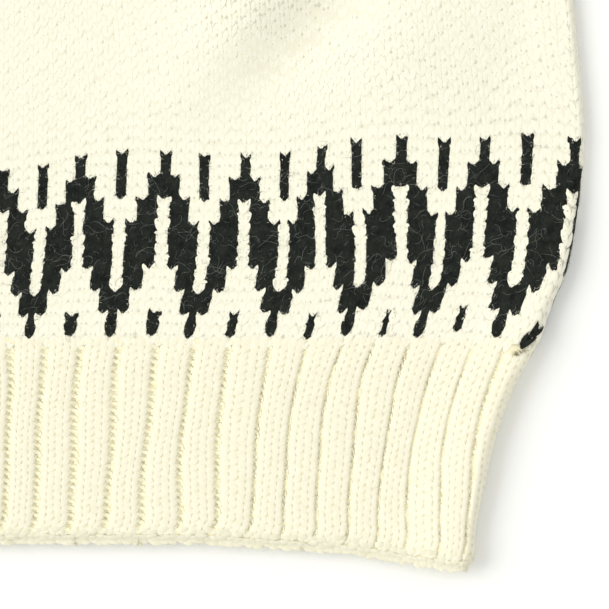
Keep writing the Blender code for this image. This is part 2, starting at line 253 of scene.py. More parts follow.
# The pattern lattice. Lines run across the front, so they are read at u.
TOP_LINE = curve_of(
    [  # (u, place of row 0's top, counted down in units from laid Y 216.4)
        (-66, 147), (-48, 150), (-30, 154), (-16, 158), (0, 165), (8, 170), (12, 166),
        (16, 157), (20, 151), (24, 152), (28, 155), (32, 155), (36, 154), (40, 147),
        (44, 139), (48, 136), (52, 141), (56, 138.5), (60, 133), (64, 138.5), (66, 140),
    ]
)  # fmt: skip
LOW_LINE = curve_of(
    [
        (-66, 338), (-40, 335), (0, 336), (12, 336), (16, 335), (20, 336), (24, 334),
        (28, 336), (32, 336), (36, 335), (40, 338), (44, 334), (48, 335), (52, 336),
        (56, 330), (60, 337), (62, 342), (64, 353), (66, 357),
    ]
)  # fmt: skip
ROW_UP = curve_of(
    [
        (-66, 11.4), (0, 10.9), (10, 10.8), (32, 11.4), (44, 12.0), (56, 13.8),
        (62, 13.2), (66, 12.6),
    ]
)  # fmt: skip
ACROSS_TOP = curve_of(
    [  # (u, share of the way to the fold's tip) at the band's top
        (-66, -1.0), (-33, -0.5), (0, 0.0), (8, 0.1227), (12, 0.1825), (16, 0.2364),
        (20, 0.2977), (24, 0.3635), (28, 0.4233), (32, 0.4847), (36, 0.5445),
        (40, 0.5984), (44, 0.6537), (48, 0.7204), (52, 0.7838), (56, 0.8437),
        (60, 0.9075), (64, 0.9810), (66, 1.0),
    ]
)  # fmt: skip
ACROSS_LOW = curve_of(
    [
        (-66, -1.0), (-33, -0.5), (0, 0.0), (8, 0.1130), (12, 0.1706), (16, 0.2365),
        (20, 0.3025), (24, 0.3685), (28, 0.4306), (32, 0.4948), (36, 0.5583),
        (40, 0.6179), (44, 0.6790), (48, 0.7385), (52, 0.7949), (56, 0.8528),
        (60, 0.9165), (64, 0.9825), (66, 1.0),
    ]
)  # fmt: skip
BAND_ROWS = 16
LAST_ROW = 17  # the rows end here, at the rib


def row_y(u, r):
    """Laid height of row line r at wale u, anywhere round the tube."""
    turn = np.abs(u)
    w = np.where(turn <= 66, u, np.sign(u) * 66.0)
    top, low, up = TOP_LINE(w), LOW_LINE(w), ROW_UP(w)
    behind = ease((turn - 66) / 9.0)
    top = top + behind * (150.0 - top)
    low = low + behind * (337.0 - low)
    up = up + behind * (11.3 - up)
    inner = top + (low - top) * r / BAND_ROWS
    over = np.minimum(np.maximum(-r, 0.0), 14.0)
    beyond = np.maximum(-r - 14.0, 0.0)
    lifted_up = over * up + beyond * 11.16 + (up - 11.16) * 9.0 * (1 - np.exp(-beyond / 9))
    # Slopes of the rows die out on the way up.
    plain = 150.0 - 14 * 11.3
    settle = (top - 14 * up - plain) * (1 - np.exp(-beyond / 22.0))
    above = top - lifted_up - settle
    under = low + (r - BAND_ROWS) * 10.6
    value = np.where(r < 0, above, np.where(r > BAND_ROWS, under, inner))
    return (541.0 - value) * UNIT


def body_arc(u, y, keep=False):
    """Arc from the front's middle line to wale u, on height y."""
    width = half_width(np.minimum(y, 400.0)) if not keep else half_width(y)
    tip = width + turn_of(y) * (math.pi / 2 - 1)
    turn = np.abs(u)
    w = np.where(turn <= 66, u, np.sign(u) * (132.0 - turn))
    m = ease((150.0 - y) / 64.0)
    share = (1 - m) * ACROSS_TOP(w) + m * ACROSS_LOW(w)
    calm = ease((y - 250.0) / 120.0)
    share = share + calm * (w / 66.0 - share)
    share = np.abs(share)
    share = np.where(turn <= 66, share, 2.0 - share)
    return np.sign(u) * share * tip


def wander(u, r):
    """Where a wale really runs: it strays a little from its line."""
    du = waves(u, r, ((17.0, 23.0, 0.4, 0.10), (7.3, 15.0, 2.1, 0.07), (41.0, 37.0, 4.0, 0.12)))
    dr = waves(u, r, ((13.0, 19.0, 1.3, 0.06), (5.1, 9.0, 3.3, 0.05)))
    return u + du, r + dr


def knit_body(u, r):
    u, r = wander(u, r)
    y = row_y(u, r)
    return body_place(body_arc(u, y), y)


def lean_of(u, r):
    """How far, in wales, the columns at the body's lower corners are drawn in."""
    return np.sign(u) * 1.05 * ease((r - 13.8) / 2.2) * ease((np.abs(u) - 60.0) / 4.0)


def leaning(u, r):
    """The front's surface with its columns drawn in that way."""
    return knit_body(u - lean_of(u, r), r)


def chart(u, r):
    """True where the border is dark: a repeat of 8 wales and 16 rows."""
    c = np.abs((u + 4) % 8 - 4)  # wales from the repeat's middle, 0 to 4
    bands = (
        (0, 2, (0, 4)),
        (2, 4, (0, 1, 4)),
        (4, 6, (1, 2)),
        (6, 10, (1, 2, 3)),
        (10, 12, (2, 3)),
        (12, 14, (3, 4)),
        (14, 16, (0, 4)),
    )
    dark = np.zeros(np.broadcast(u, r).shape, bool)
    for first, end, wales in bands:
        dark |= (r >= first) & (r < end) & np.isin(c, wales)
    return dark


# ---- the hem rib ----------------------------------------------------------
RIB_AT_TOP = curve_of(
    [  # (rib valley, arc) at the top of the rib; 66 ribs go round
        (-2.28, 0.0), (0, 33.2), (1, 46.4), (2, 61.2), (3, 76.8), (4, 91.6), (5, 106.8),
        (6, 121.2), (7, 137.4), (8, 150.8), (9, 165.2), (10, 178.4), (11, 192.4),
        (12, 204.4), (13, 217.0), (14, 229.8), (15.08, 245.6), (22.0, 348.0),
    ]
)  # fmt: skip
RIB_AT_HEM = curve_of(
    [
        (-2.28, 0.0), (0, 30.8), (1, 43.2), (2, 56.6), (3, 71.2), (4, 85.6), (5, 100.8),
        (6, 115.2), (7, 130.4), (8, 144.0), (9, 156.4), (10, 169.2), (11, 181.6),
        (12, 192.8), (13, 206.0), (14, 217.4), (14.6, 225.4), (22.0, 326.0),
    ]
)  # fmt: skip
RIBS = 66
RIB_ROWS = 28


def rib_arc(q, t):
    """Arc of rib line q at t, 0 at the rib's top and 1 at the hem."""
    around_top, around_hem = 982.4, 894.4
    t = np.clip(t, 0.0, None) ** 1.5
    q = (q + 2.28) % RIBS - 2.28
    top = np.where(
        q <= 22.0,
        RIB_AT_TOP(q),
        348.0 + (q - 22.0) * (around_top - 348.0) / (RIBS - 2.28 - 22.0),
    )
    hem = np.where(
        q <= 22.0,
        RIB_AT_HEM(q),
        326.0 + (q - 22.0) * (around_hem - 326.0) / (RIBS - 2.28 - 22.0),
    )
    share = (1 - t) * top / around_top + t * hem / around_hem
    return share  # share of the way round


def rib_place(share, t):
    """Outer point of the rib's envelope."""
    y_side = RIB_TOP + t * (-10.2 - RIB_TOP)
    half = half_width(y_side)
    turn = RIB_TURN - 0.5 * (1 - ease(t / 0.12))
    flat = half - turn
    quarter = turn * math.pi / 2
    tip = flat + quarter
    a = share * 4 * tip
    a = np.where(a > 2 * tip, a - 4 * tip, a)
    side = np.where(a < 0, -1.0, 1.0)
    w = np.abs(a)
    k = np.clip((w - flat) / quarter, 0.0, 2.0)
    x = np.where(
        w <= flat,
        w,
        np.where(k < 2, flat + turn * np.sin(k * math.pi / 2), 2 * tip - w),
    )
    level = RIB_LEVEL - 1.0 * (1 - ease(t / 0.12))
    z_top = level + (2 * turn - level) * ease(1 - (flat - w) / REACH)
    z = np.where(
        w <= flat,
        z_top,
        np.where(k < 2, turn + turn * np.cos(k * math.pi / 2), 0.0),
    )
    low = HEM(np.clip(x / half, 0, 1))
    y = RIB_TOP + t * (low - RIB_TOP)
    return np.stack([x * side, y, z], -1)


def valley_half(q):
    """Half width of the valley between ribs, in shares of a rib."""
    q = (q + 2.28) % RIBS - 2.28
    return np.interp(q, [0, 4, 8, 12.4, 13.6, 14.4, 16], [0.115, 0.105, 0.045, 0.035, 0.060, 0.070, 0.10])


RIB_DEEP = 1.0


def rib_relief(q, t):
    """How far the ribbed surface lies under its envelope."""
    f = q - np.floor(q)
    near = np.minimum(f, 1 - f)
    v = valley_half(q)
    column = np.clip((near - 0.2 * v) / (1.9 * v), 0, 1)
    wall = np.sqrt(np.clip(1 - (1 - column) ** 2, 0, 1))
    crown = 0.35 * (1 - np.clip(near / 0.5, 0, 1)) ** 2
    low = RIB_DEEP * (1 - wall) + crown
    ends = ease(t / 0.04) * 0.65 + 0.35
    ends = ends * (1 - 0.9 * ease((t - 0.915) / 0.06))
    return low * ends


def rib_bend(q, t):
    """Rib lines sway, and curl towards +X where the edge is cast off."""
    sway = 0.035 * np.sin(t * 5.0 + q * 1.7) + 0.022 * np.sin(t * 11.0 + q * 0.9)
    aside = (0.12 + 0.09 * ease(t / 0.28)) * (1 - 0.6 * ease((q - 12.0) / 3.0))
    return q + aside + sway - 0.24 * ease((t - 0.87) / 0.13)


def rib_line(q, t):
    return rib_place(rib_arc(q, t), t)


def ribbed(q, t, h=0.0):
    q2 = rib_bend(q, t)
    roll = 2.4 * ease((t - 0.955) / 0.045) ** 2
    off = h - rib_relief(q, t) - roll
    return lifted(rib_line, q2, t, off, 0.02, -0.004)


# ---- meshes ---------------------------------------------------------------
CORNER_PULL = curve_of(
    [  # (height above the hem's middle, how far out), mm
        (-20.0, 0.8), (12.0, 0.9), (36.0, 0.9), (45.0, 1.2), (53.0, 1.5), (61.0, 1.8), (69.0, 2.1),
        (77.0, 2.3), (83.0, 2.1), (89.0, 1.4), (97.0, 0.8), (110.0, 0.4), (125.0, 0.0), (700.0, 0.0),
    ]
)  # fmt: skip


def pulled_out(points):
    """The tube's sides as they lie, pulled out a little where rib and body meet."""
    x = points[:, 0]
    out = CORNER_PULL(np.clip(points[:, 1], -20.0, 700.0)) * ease((np.abs(x) - 185.0) / 50.0)
    return points + np.stack([np.sign(x) * out, np.zeros_like(x), np.zeros_like(x)], -1)


def put(name, points, faces, material, index=None, materials=None, uvs=None, past=None):
    """A mesh object from arrays: points in laid mm, faces all of one size.

    past is what uvs read where a face goes on over a tube's seam.
    """
    points = np.asarray(points, float).reshape(-1, 3)
    if name.startswith(("front_", "back_", "hem_rib_")):
        points = pulled_out(points)
    points = (points + [0.0, Y_SHIFT, 0.0]) * MM
    faces = np.asarray(faces, np.int32)
    count, corners = faces.shape
    mesh = bpy.data.meshes.new(name)
    mesh.vertices.add(len(points))
    mesh.vertices.foreach_set("co", points.astype(np.float32).ravel())
    mesh.loops.add(count * corners)
    mesh.loops.foreach_set("vertex_index", faces.ravel())
    mesh.polygons.add(count)
    mesh.polygons.foreach_set("loop_start", np.arange(0, count * corners, corners, dtype=np.int32))
    for each in materials or [material]:
        mesh.materials.append(each)
    if index is not None:
        mesh.polygons.foreach_set("material_index", np.asarray(index, np.int32))
    mesh.update(calc_edges=True)
    mesh.validate()
    mesh.polygons.foreach_set("use_smooth", np.ones(len(mesh.polygons), bool))
    if uvs is not None:
        layer = mesh.uv_layers.new(name="Stitch")
        loop_uvs = np.asarray(uvs)[faces]
        if past is not None:
            wide = loop_uvs[..., 0].max(1) - loop_uvs[..., 0].min(1) > 12
            over = wide[:, None] & (loop_uvs[..., 0] < 0)
            loop_uvs = np.where(over[..., None], np.asarray(past)[faces], loop_uvs)
        layer.data.foreach_set("uv", loop_uvs.astype(np.float32).ravel())
    obj = bpy.data.objects.new(name, mesh)
    bpy.context.scene.collection.objects.link(obj)
    return obj


def closed_shell(outer, inner, around):
    """Faces of a wall between two grids, rows x columns. around joins its ends."""
    rows, cols = outer.shape[:2]
    base = rows * cols
    ids = np.arange(base).reshape(rows, cols)
    right = np.roll(ids, -1, 1) if around else ids[:, 1:]
    left = ids if around else ids[:, :-1]
    a, b = left[:-1], right[:-1]
    d, e = left[1:], right[1:]
    top = np.stack([a, b, e, d], -1).reshape(-1, 4)
    under = top[:, ::-1] + base
    parts = [top, under]
    for row, flip in ((0, True), (rows - 1, False)):
        p, n = left[row], right[row]
        rim = np.stack([p, n, n + base, p + base], -1)
        parts.append(rim[:, ::-1] if not flip else rim)
    if not around:
        for col, flip in ((0, False), (cols - 1, True)):
            p, n = ids[:-1, col], ids[1:, col]
            rim = np.stack([p, n, n + base, p + base], -1)
            parts.append(rim[:, ::-1] if not flip else rim)
    faces = np.concatenate(parts)
    return np.concatenate([outer.reshape(-1, 3), inner.reshape(-1, 3)]), faces, len(top)


def right_way_out(obj):
    import bmesh

    work = bmesh.new()
    work.from_mesh(obj.data)
    bmesh.ops.recalc_face_normals(work, faces=work.faces)
    if work.calc_volume(signed=True) < 0:
        bmesh.ops.reverse_faces(work, faces=work.faces)
    work.to_mesh(obj.data)
    work.free()
    obj.data.polygons.foreach_set("use_smooth", np.ones(len(obj.data.polygons), bool))


def leg_form(rows, sides):
    """A closed tapered lobe along rows of (x, y, half width, half height, lift).

    The first and last row are its tips. It returns points and triangles.
    """
    rows = np.array(rows, float)
    ring_rows = rows[1:-1]
    points = [rows[0, [0, 1, 4]]]
    for i, (x, y, w, t, h) in enumerate(ring_rows, start=1):
        along = rows[i + 1, :2] - rows[i - 1, :2]
        along /= np.linalg.norm(along)
        for k in range(sides):
            turn = 2 * math.pi * (k + 0.5) / sides
            c, s = math.cos(turn), math.sin(turn)
            points.append([x + along[1] * w * c, y - along[0] * w * c, h + t * s])
    points.append(rows[-1, [0, 1, 4]])
    faces = []
    last = len(points) - 1
    for k in range(sides):
        n = (k + 1) % sides
        faces.append((0, 1 + n, 1 + k))
        for j in range(len(ring_rows) - 1):
            a = 1 + j * sides
            faces.append((a + k, a + n, a + sides + n))
            faces.append((a + k, a + sides + n, a + sides + k))
        a = 1 + (len(ring_rows) - 1) * sides
        faces.append((a + k, a + n, last))
    return np.array(points, float), np.array(faces, int)


def outward(form):
    """The closed form with its triangles facing out."""
    points, faces = form
    a, b, c = (points[faces[:, i]] - points.mean(0) for i in range(3))
    if np.einsum("ij,ij->i", a, np.cross(b, c)).sum() < 0:
        faces = faces[:, ::-1]
    return points, faces


def pair(form):
    """The lobe and its mirror image across x = 0: the two legs of a stitch."""
    points, faces = outward(form)
    other = points * [-1, 1, 1]
    return (
        np.concatenate([points, other]),
        np.concatenate([faces, faces[:, ::-1] + len(points)]),
    )


def stitch(flat=0.28, top=(-0.04, -0.14)):
    """One leg of a stitch: x, y, half width; in mm half height, lift."""
    return (
        (0.35, -8.0, 0.0, 0.0, 0.11),
        (0.95, -6.2, 1.15, 0.55 * flat, 0.12),
        (2.05, -3.2, 2.5, 0.98 * flat, 0.10),
        (3.0, 0.6, 3.15, 1.05 * flat, 0.04),
        (4.3, 4.4, 2.3, 0.80 * flat, top[0]),
        (5.8, 8.2, 0.0, 0.0, top[1]),
    )


NEAR = pair(leg_form(stitch(), 6))
PRONGED = pair(leg_form(stitch(top=(0.13, 0.14)), 6))
FAR = pair(
    (
        np.array([(0.9, -7.2, -0.1), (5.9, 0.2, -0.2), (-0.2, -0.6, -0.2), (2.7, -0.4, 0.42), (4.7, 7.2, -0.25)]),
        np.array([(0, 1, 3), (0, 3, 2), (4, 3, 1), (4, 2, 3), (0, 2, 1), (4, 1, 2)]),
    )
)


def form_normals(form):
    """Unit normals of a form's points, in its own axes (mm)."""
    points, faces = form
    place = points * [UNIT, UNIT, 1.0]
    a, b, c = (place[faces[:, i]] for i in range(3))
    face = np.cross(b - a, c - a)
    total = np.zeros_like(place)
    for i in range(3):
        np.add.at(total, faces[:, i], face)
    return unit(total)


class Lot:
    """Points, triangles and shading normals that are gathered for one mesh."""

    def __init__(self):
        self.points, self.faces, self.normals, self.count = [], [], [], 0

    def add(self, points, faces, normals):
        self.points.append(points.reshape(-1, 3))
        self.normals.append(normals.reshape(-1, 3))
        self.faces.append(faces.reshape(-1, 3) + self.count)
        self.count += self.points[-1].shape[0]

    def flip(self):
        """Mirror all of it across the garment's middle line."""
        self.points = [p * [-1.0, 1.0, 1.0] for p in self.points]
        self.normals = [n * [-1.0, 1.0, 1.0] for n in self.normals]
        self.faces = [f[:, ::-1] for f in self.faces]

    def put(self, name, material):
        obj = put(name, np.concatenate(self.points), np.concatenate(self.faces), material)
        obj.data.normals_split_custom_set_from_vertices(
            np.concatenate(self.normals).astype(np.float32)
        )
        return obj


def scatter(lot, form, surface, us, rs, steps, size=1.0, lift=0.0, jitter=0.035,
            pitch=(PITCH_U, PITCH_R), uneven=0.06, stretch=None, round_look=0.4, floor=None):
    """Every copy of a form set on its lattice place, bent with the surface.

    round_look is how far the shading follows the lobe, and not the cloth.
    """  # fmt: skip
    points, faces = form
    n = len(us)
    if n == 0:
        return
    grow = size * (1 + RNG.normal(0, uneven, (n, 1)))
    turn = RNG.normal(0, 0.06, (n, 1))
    x = points[None, :, 0] * grow
    if stretch is not None:
        x = x * stretch[:, None]
    y = points[None, :, 1] * (1 + RNG.normal(0, 0.04, (n, 1)))
    x, y = x + turn * y, y - turn * x
    u = us[:, None] + x / pitch[0] + RNG.normal(0, jitter, (n, 1))
    r = rs[:, None] - y / pitch[1] + RNG.normal(0, jitter, (n, 1))
    h = points[None, :, 2] * grow + np.reshape(lift, (-1, 1)) + RNG.normal(0, 0.022, (n, 1))
    place, along, across, normal = with_axes(surface, u, r, h, *steps)
    own = form_normals(form)[None]
    look = own[..., 0:1] * along + own[..., 1:2] * across + own[..., 2:3] * normal
    look = unit(round_look * look + (1 - round_look) * normal)
    if floor is not None:
        place[..., 2] = np.maximum(place[..., 2], floor)
    ids = faces[None] + (np.arange(n) * len(points))[:, None, None]
    lot.add(place, ids, look)


def hairs(lot, surface, us, rs, steps, angles, lengths, radius, lift=0.35, rise=0.3,
          bend=0.8, parts=4, pitch=(PITCH_U, PITCH_R)):
    """Fine curved fibres on a surface: thin three-sided tubes with closed ends."""  # fmt: skip
    n = len(us)
    s = np.linspace(0, 1, parts + 1)[None]
    curl = RNG.normal(0, bend, (n, 1))
    wave = RNG.normal(0, 0.5 * bend, (n, 1))
    heading = angles[:, None] + curl * (s - 0.5) + wave * np.sin(s * 5.0)
    step = lengths[:, None] / parts / UNIT
    dx = np.concatenate([np.zeros((n, 1)), np.cumsum(np.cos(heading[:, :-1]) * step, 1)], 1)
    dy = np.concatenate([np.zeros((n, 1)), np.cumsum(np.sin(heading[:, :-1]) * step, 1)], 1)
    dx, dy = dx - dx[:, -1:] * 0.5, dy - dy[:, -1:] * 0.5
    up = lift + rise * RNG.random((n, 1)) * np.sin(s * math.pi) - 0.25 * np.abs(2 * s - 1) ** 3
    place, _, _, normal = with_axes(
        surface, us[:, None] + dx / pitch[0], rs[:, None] - dy / pitch[1], up, *steps
    )
    ahead = np.gradient(place, axis=1)
    side = unit(np.cross(normal, ahead))
    thin = radius * (0.25 + 0.75 * np.sin(np.clip(s, 0.04, 0.96) * math.pi) ** 0.5)
    rings = []
    looks = []
    for k in range(3):
        turn = 2 * math.pi * k / 3 + 0.5
        off = side * math.cos(turn) + normal * math.sin(turn)
        rings.append(place + off * thin[..., None])
        looks.append(off)
    points = np.stack(rings, 2)  # copies, rows, 3, xyz
    points[..., 2] = np.maximum(points[..., 2], 0.02)
    looks = np.stack(looks, 2)
    faces = []
    for j in range(parts):
        for k in range(3):
            a, b = 3 * j + k, 3 * j + (k + 1) % 3
            faces += [(a, b, b + 3), (a, b + 3, a + 3)]
    faces += [(0, 2, 1), (3 * parts, 3 * parts + 1, 3 * parts + 2)]
    faces = np.array(faces)
    a, b, c = (points[:, 0:2].reshape(n, -1, 3)[:, faces[0, i]] for i in range(3))
    facing = np.einsum("ij,ij->i", np.cross(b - a, c - a), looks[:, 0, 0] + looks[:, 0, 1])
    if facing.sum() < 0:
        faces = faces[:, ::-1]
    per = 3 * (parts + 1)
    ids = faces[None] + (np.arange(n) * per)[:, None, None]
    lot.add(points, ids, unit(looks + 0.8 * normal[:, :, None, :]))


# ---- materials ------------------------------------------------------------
def wool(name, low, high, grain=1.0, sheen=0.25, speck=None, stitch_bump=False, purl=False, soft=0.0):
    """Felted wool: mottled colour, fine hairs in the bump, a soft sheen."""
    made = bpy.data.materials.new(name)
    made.use_nodes = True
    tree = made.node_tree
    nodes, links = tree.nodes, tree.links
    shader = nodes["Principled BSDF"]
    shader.inputs["Roughness"].default_value = 0.95
    shader.inputs["Specular IOR Level"].default_value = 0.15
    shader.inputs["Sheen Weight"].default_value = sheen
    shader.inputs["Sheen Roughness"].default_value = 0.6
    if soft:
        shader.inputs["Subsurface Weight"].default_value = soft
        shader.inputs["Subsurface Radius"].default_value = (1.0, 0.9, 0.65)
        shader.inputs["Subsurface Scale"].default_value = 0.0016
    coords = nodes.new("ShaderNodeTexCoord")

    def noise(scale, detail, rough, stretch=None):
        texture = nodes.new("ShaderNodeTexNoise")
        texture.inputs["Scale"].default_value = scale
        texture.inputs["Detail"].default_value = detail
        texture.inputs["Roughness"].default_value = rough
        source = coords.outputs["Object"]
        if stretch:
            mapping = nodes.new("ShaderNodeMapping")
            mapping.inputs["Scale"].default_value = stretch
            links.new(source, mapping.inputs["Vector"])
            source = mapping.outputs["Vector"]
        links.new(source, texture.inputs["Vector"])
        return texture.outputs["Fac"]

    def math_node(kind, a, b):
        node = nodes.new("ShaderNodeMath")
        node.operation = kind
        for socket, value in zip(node.inputs, (a, b)):
            if isinstance(value, (int, float)):
                socket.default_value = value
            else:
                links.new(value, socket)
        return node.outputs[0]

    broad = noise(260.0, 3.0, 0.6)
    fine = noise(1500.0, 3.0, 0.65, (1.0, 0.45, 1.0))
    hairs = noise(2600.0, 2.0, 0.6, (0.35, 1.0, 1.0))
    mottle = math_node("ADD", math_node("MULTIPLY", broad, 0.55), math_node("MULTIPLY", fine, 0.45))
    ramp = nodes.new("ShaderNodeValToRGB")
    ramp.color_ramp.elements[0].position = 0.36
    ramp.color_ramp.elements[1].position = 0.62
    ramp.color_ramp.elements[0].color = (*low, 1.0)
    ramp.color_ramp.elements[1].color = (*high, 1.0)
    links.new(mottle, ramp.inputs["Fac"])
    colour = ramp.outputs["Color"]
    if speck:
        amount, shade = speck
        dots = noise(3300.0, 1.0, 0.5, (1.0, 0.35, 1.0))
        mask = math_node("GREATER_THAN", dots, amount)
        mix = nodes.new("ShaderNodeMix")
        mix.data_type = "RGBA"
        links.new(mask, mix.inputs["Factor"])
        links.new(colour, mix.inputs["A"])
        mix.inputs["B"].default_value = (*shade, 1.0)
        colour = mix.outputs["Result"]
    links.new(colour, shader.inputs["Base Color"])
    height = math_node("ADD", math_node("MULTIPLY", fine, 0.6), math_node("MULTIPLY", hairs, 0.5))
    bump = nodes.new("ShaderNodeBump")
    bump.inputs["Strength"].default_value = 0.55 * grain
    bump.inputs["Distance"].default_value = 0.00035
    links.new(height, bump.inputs["Height"])
    out = bump.outputs["Normal"]
    if stitch_bump:
        uv = nodes.new("ShaderNodeUVMap")
        uv.uv_map = "Stitch"
        split = nodes.new("ShaderNodeSeparateXYZ")
        links.new(uv.outputs["UV"], split.inputs["Vector"])
        wale, row = split.outputs["X"], split.outputs["Y"]
        near = math_node("ROUND", wale, 0.0)
        off = math_node("ABSOLUTE", math_node("SUBTRACT", wale, near), 0.0)
        odd = math_node("MULTIPLY", math_node("MODULO", math_node("ABSOLUTE", near, 0.0), 2.0), 0.5)
        rise = math_node("FRACT", math_node("ADD", row, odd), 0.0)
        lean = math_node("SUBTRACT", 0.40, math_node("MULTIPLY", rise, 0.28))
        away = math_node("DIVIDE", math_node("SUBTRACT", off, lean), 0.24)
        lobe = math_node("SUBTRACT", 1.0, math_node("MULTIPLY", away, away))
        if purl:
            arc = math_node("SINE", math_node("MULTIPLY", wale, 2 * math.pi), 0.0)
            wave = math_node("ADD", math_node("MULTIPLY", arc, 0.16), row)
            up = math_node("SINE", math_node("MULTIPLY", wave, 4 * math.pi), 0.0)
            lobe = math_node("MULTIPLY", math_node("ADD", up, 1.0), 0.5)
        knit = nodes.new("ShaderNodeBump")
        knit.inputs["Strength"].default_value = 0.9
        knit.inputs["Distance"].default_value = 0.0010
        links.new(math_node("MAXIMUM", lobe, 0.0), knit.inputs["Height"])
        links.new(out, knit.inputs["Normal"])
        out = knit.outputs["Normal"]
    links.new(out, shader.inputs["Normal"])
    return made


CREAM = ((0.865, 0.840, 0.682), (0.905, 0.888, 0.738))
RIB_CREAM = ((0.845, 0.806, 0.620), (0.897, 0.862, 0.690))
# Painted shade: a darker, yellower cream for the ribbed shells, which show in the valleys between the ribs.
RIB_VALLEY_SHADE = ((0.835, 0.766, 0.500), (0.885, 0.826, 0.585))
# Painted shade: the purl strokes lie in the valleys, so their cream is made darker and yellower.
PURL_SHADE = ((0.850, 0.788, 0.525), (0.893, 0.842, 0.610))
# Painted shade: a darker cream for the rolled cast-off edge of the hem, and for the fluff on it.
EDGE_SHADE_CREAM = ((0.770, 0.742, 0.560), (0.835, 0.805, 0.635))
# Painted shade: the cream made darker for the shell seen in the gaps between stitches.
GAP_SHADE = ((0.820, 0.790, 0.625), (0.862, 0.836, 0.680))
# Painted shade: the colours of the flat marks set in the holes between stitches.
PORE_SHADE = ((0.640, 0.628, 0.510), (0.735, 0.720, 0.590))
DARK = ((0.0030, 0.0042, 0.0030), (0.0185, 0.0222, 0.0172))
cream = wool("cream_wool", *CREAM)
rib_wool = wool("rib_wool", *RIB_CREAM)
purl_shade_wool = wool("purl_shade_wool", *PURL_SHADE)
# Painted light: a lighter copy of the cream that evens out the deeper self-shade of the low far stitches.
cream_far_painted_light = wool("cream_far_painted_light", *[tuple(np.array(c) * (1.035, 1.035, 1.05)) for c in CREAM])
charcoal = wool("charcoal_wool", *DARK, sheen=0.045, speck=(0.70, (0.060, 0.066, 0.060)))
gap_shade_base = wool("gap_shade_base", *GAP_SHADE)
pore_shade_wool = wool("pore_shade_wool", *PORE_SHADE, sheen=0.1)
pore_tan_shade = wool("pore_tan_shade", (0.640, 0.595, 0.440), (0.750, 0.705, 0.540), sheen=0.1)
front_dark_base = wool("front_dark_base", *DARK, sheen=0.045)
hair_grey = wool("hair_grey", (0.150, 0.155, 0.145), (0.270, 0.275, 0.255), sheen=0.1)
hair_brown = wool("hair_brown", (0.080, 0.070, 0.030), (0.190, 0.165, 0.080), sheen=0.1)
cream_base = wool("cream_base", *CREAM, stitch_bump=True)
edge_shade_wool = wool("edge_shade_wool", *EDGE_SHADE_CREAM)
charcoal_base = wool("charcoal_base", *DARK, sheen=0.045, stitch_bump=True)
rib_valley_shade_base = wool("rib_valley_shade_base", *RIB_VALLEY_SHADE)
inside_base = wool("inside_base", *CREAM, stitch_bump=True, purl=True)


# ---- front and back shells ------------------------------------------------
def top_edge(x, drop):
    """Upper edge of a panel: its neckline, then its shoulder."""
    x = np.abs(x)
    neck = NECK_Y - drop * np.sqrt(np.clip(1 - (x / NECK_HALF) ** 2, 0, 1))
    slope = NECK_Y + (x - NECK_HALF) / (SHOULDER[0] - NECK_HALF) * (SHOULDER[1] - NECK_Y)
    return np.where(x <= NECK_HALF, neck, slope)


def corner_columns(us):
    """Wale positions with the neck's corners among them."""
    at_folds = [64.75, 65.0, 65.25, 65.75, 66.0]
    return np.sort(np.unique(np.concatenate([us, at_folds, [-u for u in at_folds]])))


def body_shell(name, front, drop, sink, thick):
    """A thin wall whose lower rows stand on the stitch lattice."""
    half_steps = np.arange(-65.5, 66.0, 1.0)
    us = corner_columns(half_steps)
    rs = np.arange(LAST_ROW, -3, -1.0)
    ring = us if front else np.where(us < 0, -132.0 - us, 132.0 - us)
    ring = np.where((ring == -66) | (ring == 66), ring * (1 + (-1e-6 if front else 1e-6)), ring)
    if not front:
        ring = np.where(us == 0, 132.0, ring)
    rows = []
    uv = []
    for r in rs:
        wu, wr = wander(ring, np.full_like(ring, r))
        y = row_y(wu, wr)
        y = np.where(r == LAST_ROW, 78.5, y)
        edge = np.abs(us) >= 66
        wu = np.where(edge, ring, wu)
        rows.append(np.stack([body_arc(wu, y), y], -1))
        uv.append(np.stack([ring, np.full_like(ring, r)], -1))
    bottom = rows[-1][:, 1]
    share_at = np.clip(np.abs(us) / 66.0, 0, 1)
    for v in np.linspace(0, 1, 50)[1:]:
        x_top = share_at * SHOULDER[0] * np.sign(us)
        y = bottom + v * (top_edge(x_top, drop) - bottom)
        arc = body_arc(ring, y, keep=True)
        rows.append(np.stack([arc, y], -1))
        uv.append(np.stack([ring, -2 - (y - bottom) / 4.46], -1))
    grid = np.array(rows)
    a, y = grid[..., 0], grid[..., 1]
    outer = lifted(body_place, a, y, np.full_like(a, -sink), 0.3, 0.3)
    inner = lifted(body_place, a, y, np.full_like(a, -sink - thick), 0.3, 0.3)
    points, faces, n_top = closed_shell(outer, inner, False)
    rows_n, cols_n = a.shape
    turned = np.where(ring < 0, ring + 264.0, ring) if not front else ring
    mid_u = (turned[:-1] + turned[1:]) / 2
    dark = np.zeros((rows_n - 1, cols_n - 1), bool)
    for i in range(len(rs) - 1):
        wale = mid_u + (lean_of(mid_u + lean_of(mid_u, rs[i] - 0.5), rs[i] - 0.5) if front else 0.0)
        dark[i] = chart(np.round(wale), rs[i] - 1)
    index = np.zeros(len(faces), int)
    index[:n_top] = dark.reshape(-1)
    index[n_top : 2 * n_top] = 2
    uv = np.array(uv).reshape(-1, 2)
    obj = put(
        name,
        points,
        faces,
        None,
        index,
        # The pale slot is painted gap shade.
        [gap_shade_base, front_dark_base, inside_base] if front else [cream_base, charcoal_base, inside_base],
        np.concatenate([uv, uv]),
        None if front else np.concatenate([uv, uv]) + [264.0, 0.0],
    )
    right_way_out(obj)
    return obj


front = body_shell("front_cloth", True, FRONT_DROP, 0.0, 1.8)
back = body_shell("back_cloth", False, BACK_DROP, 0.55, 1.5)


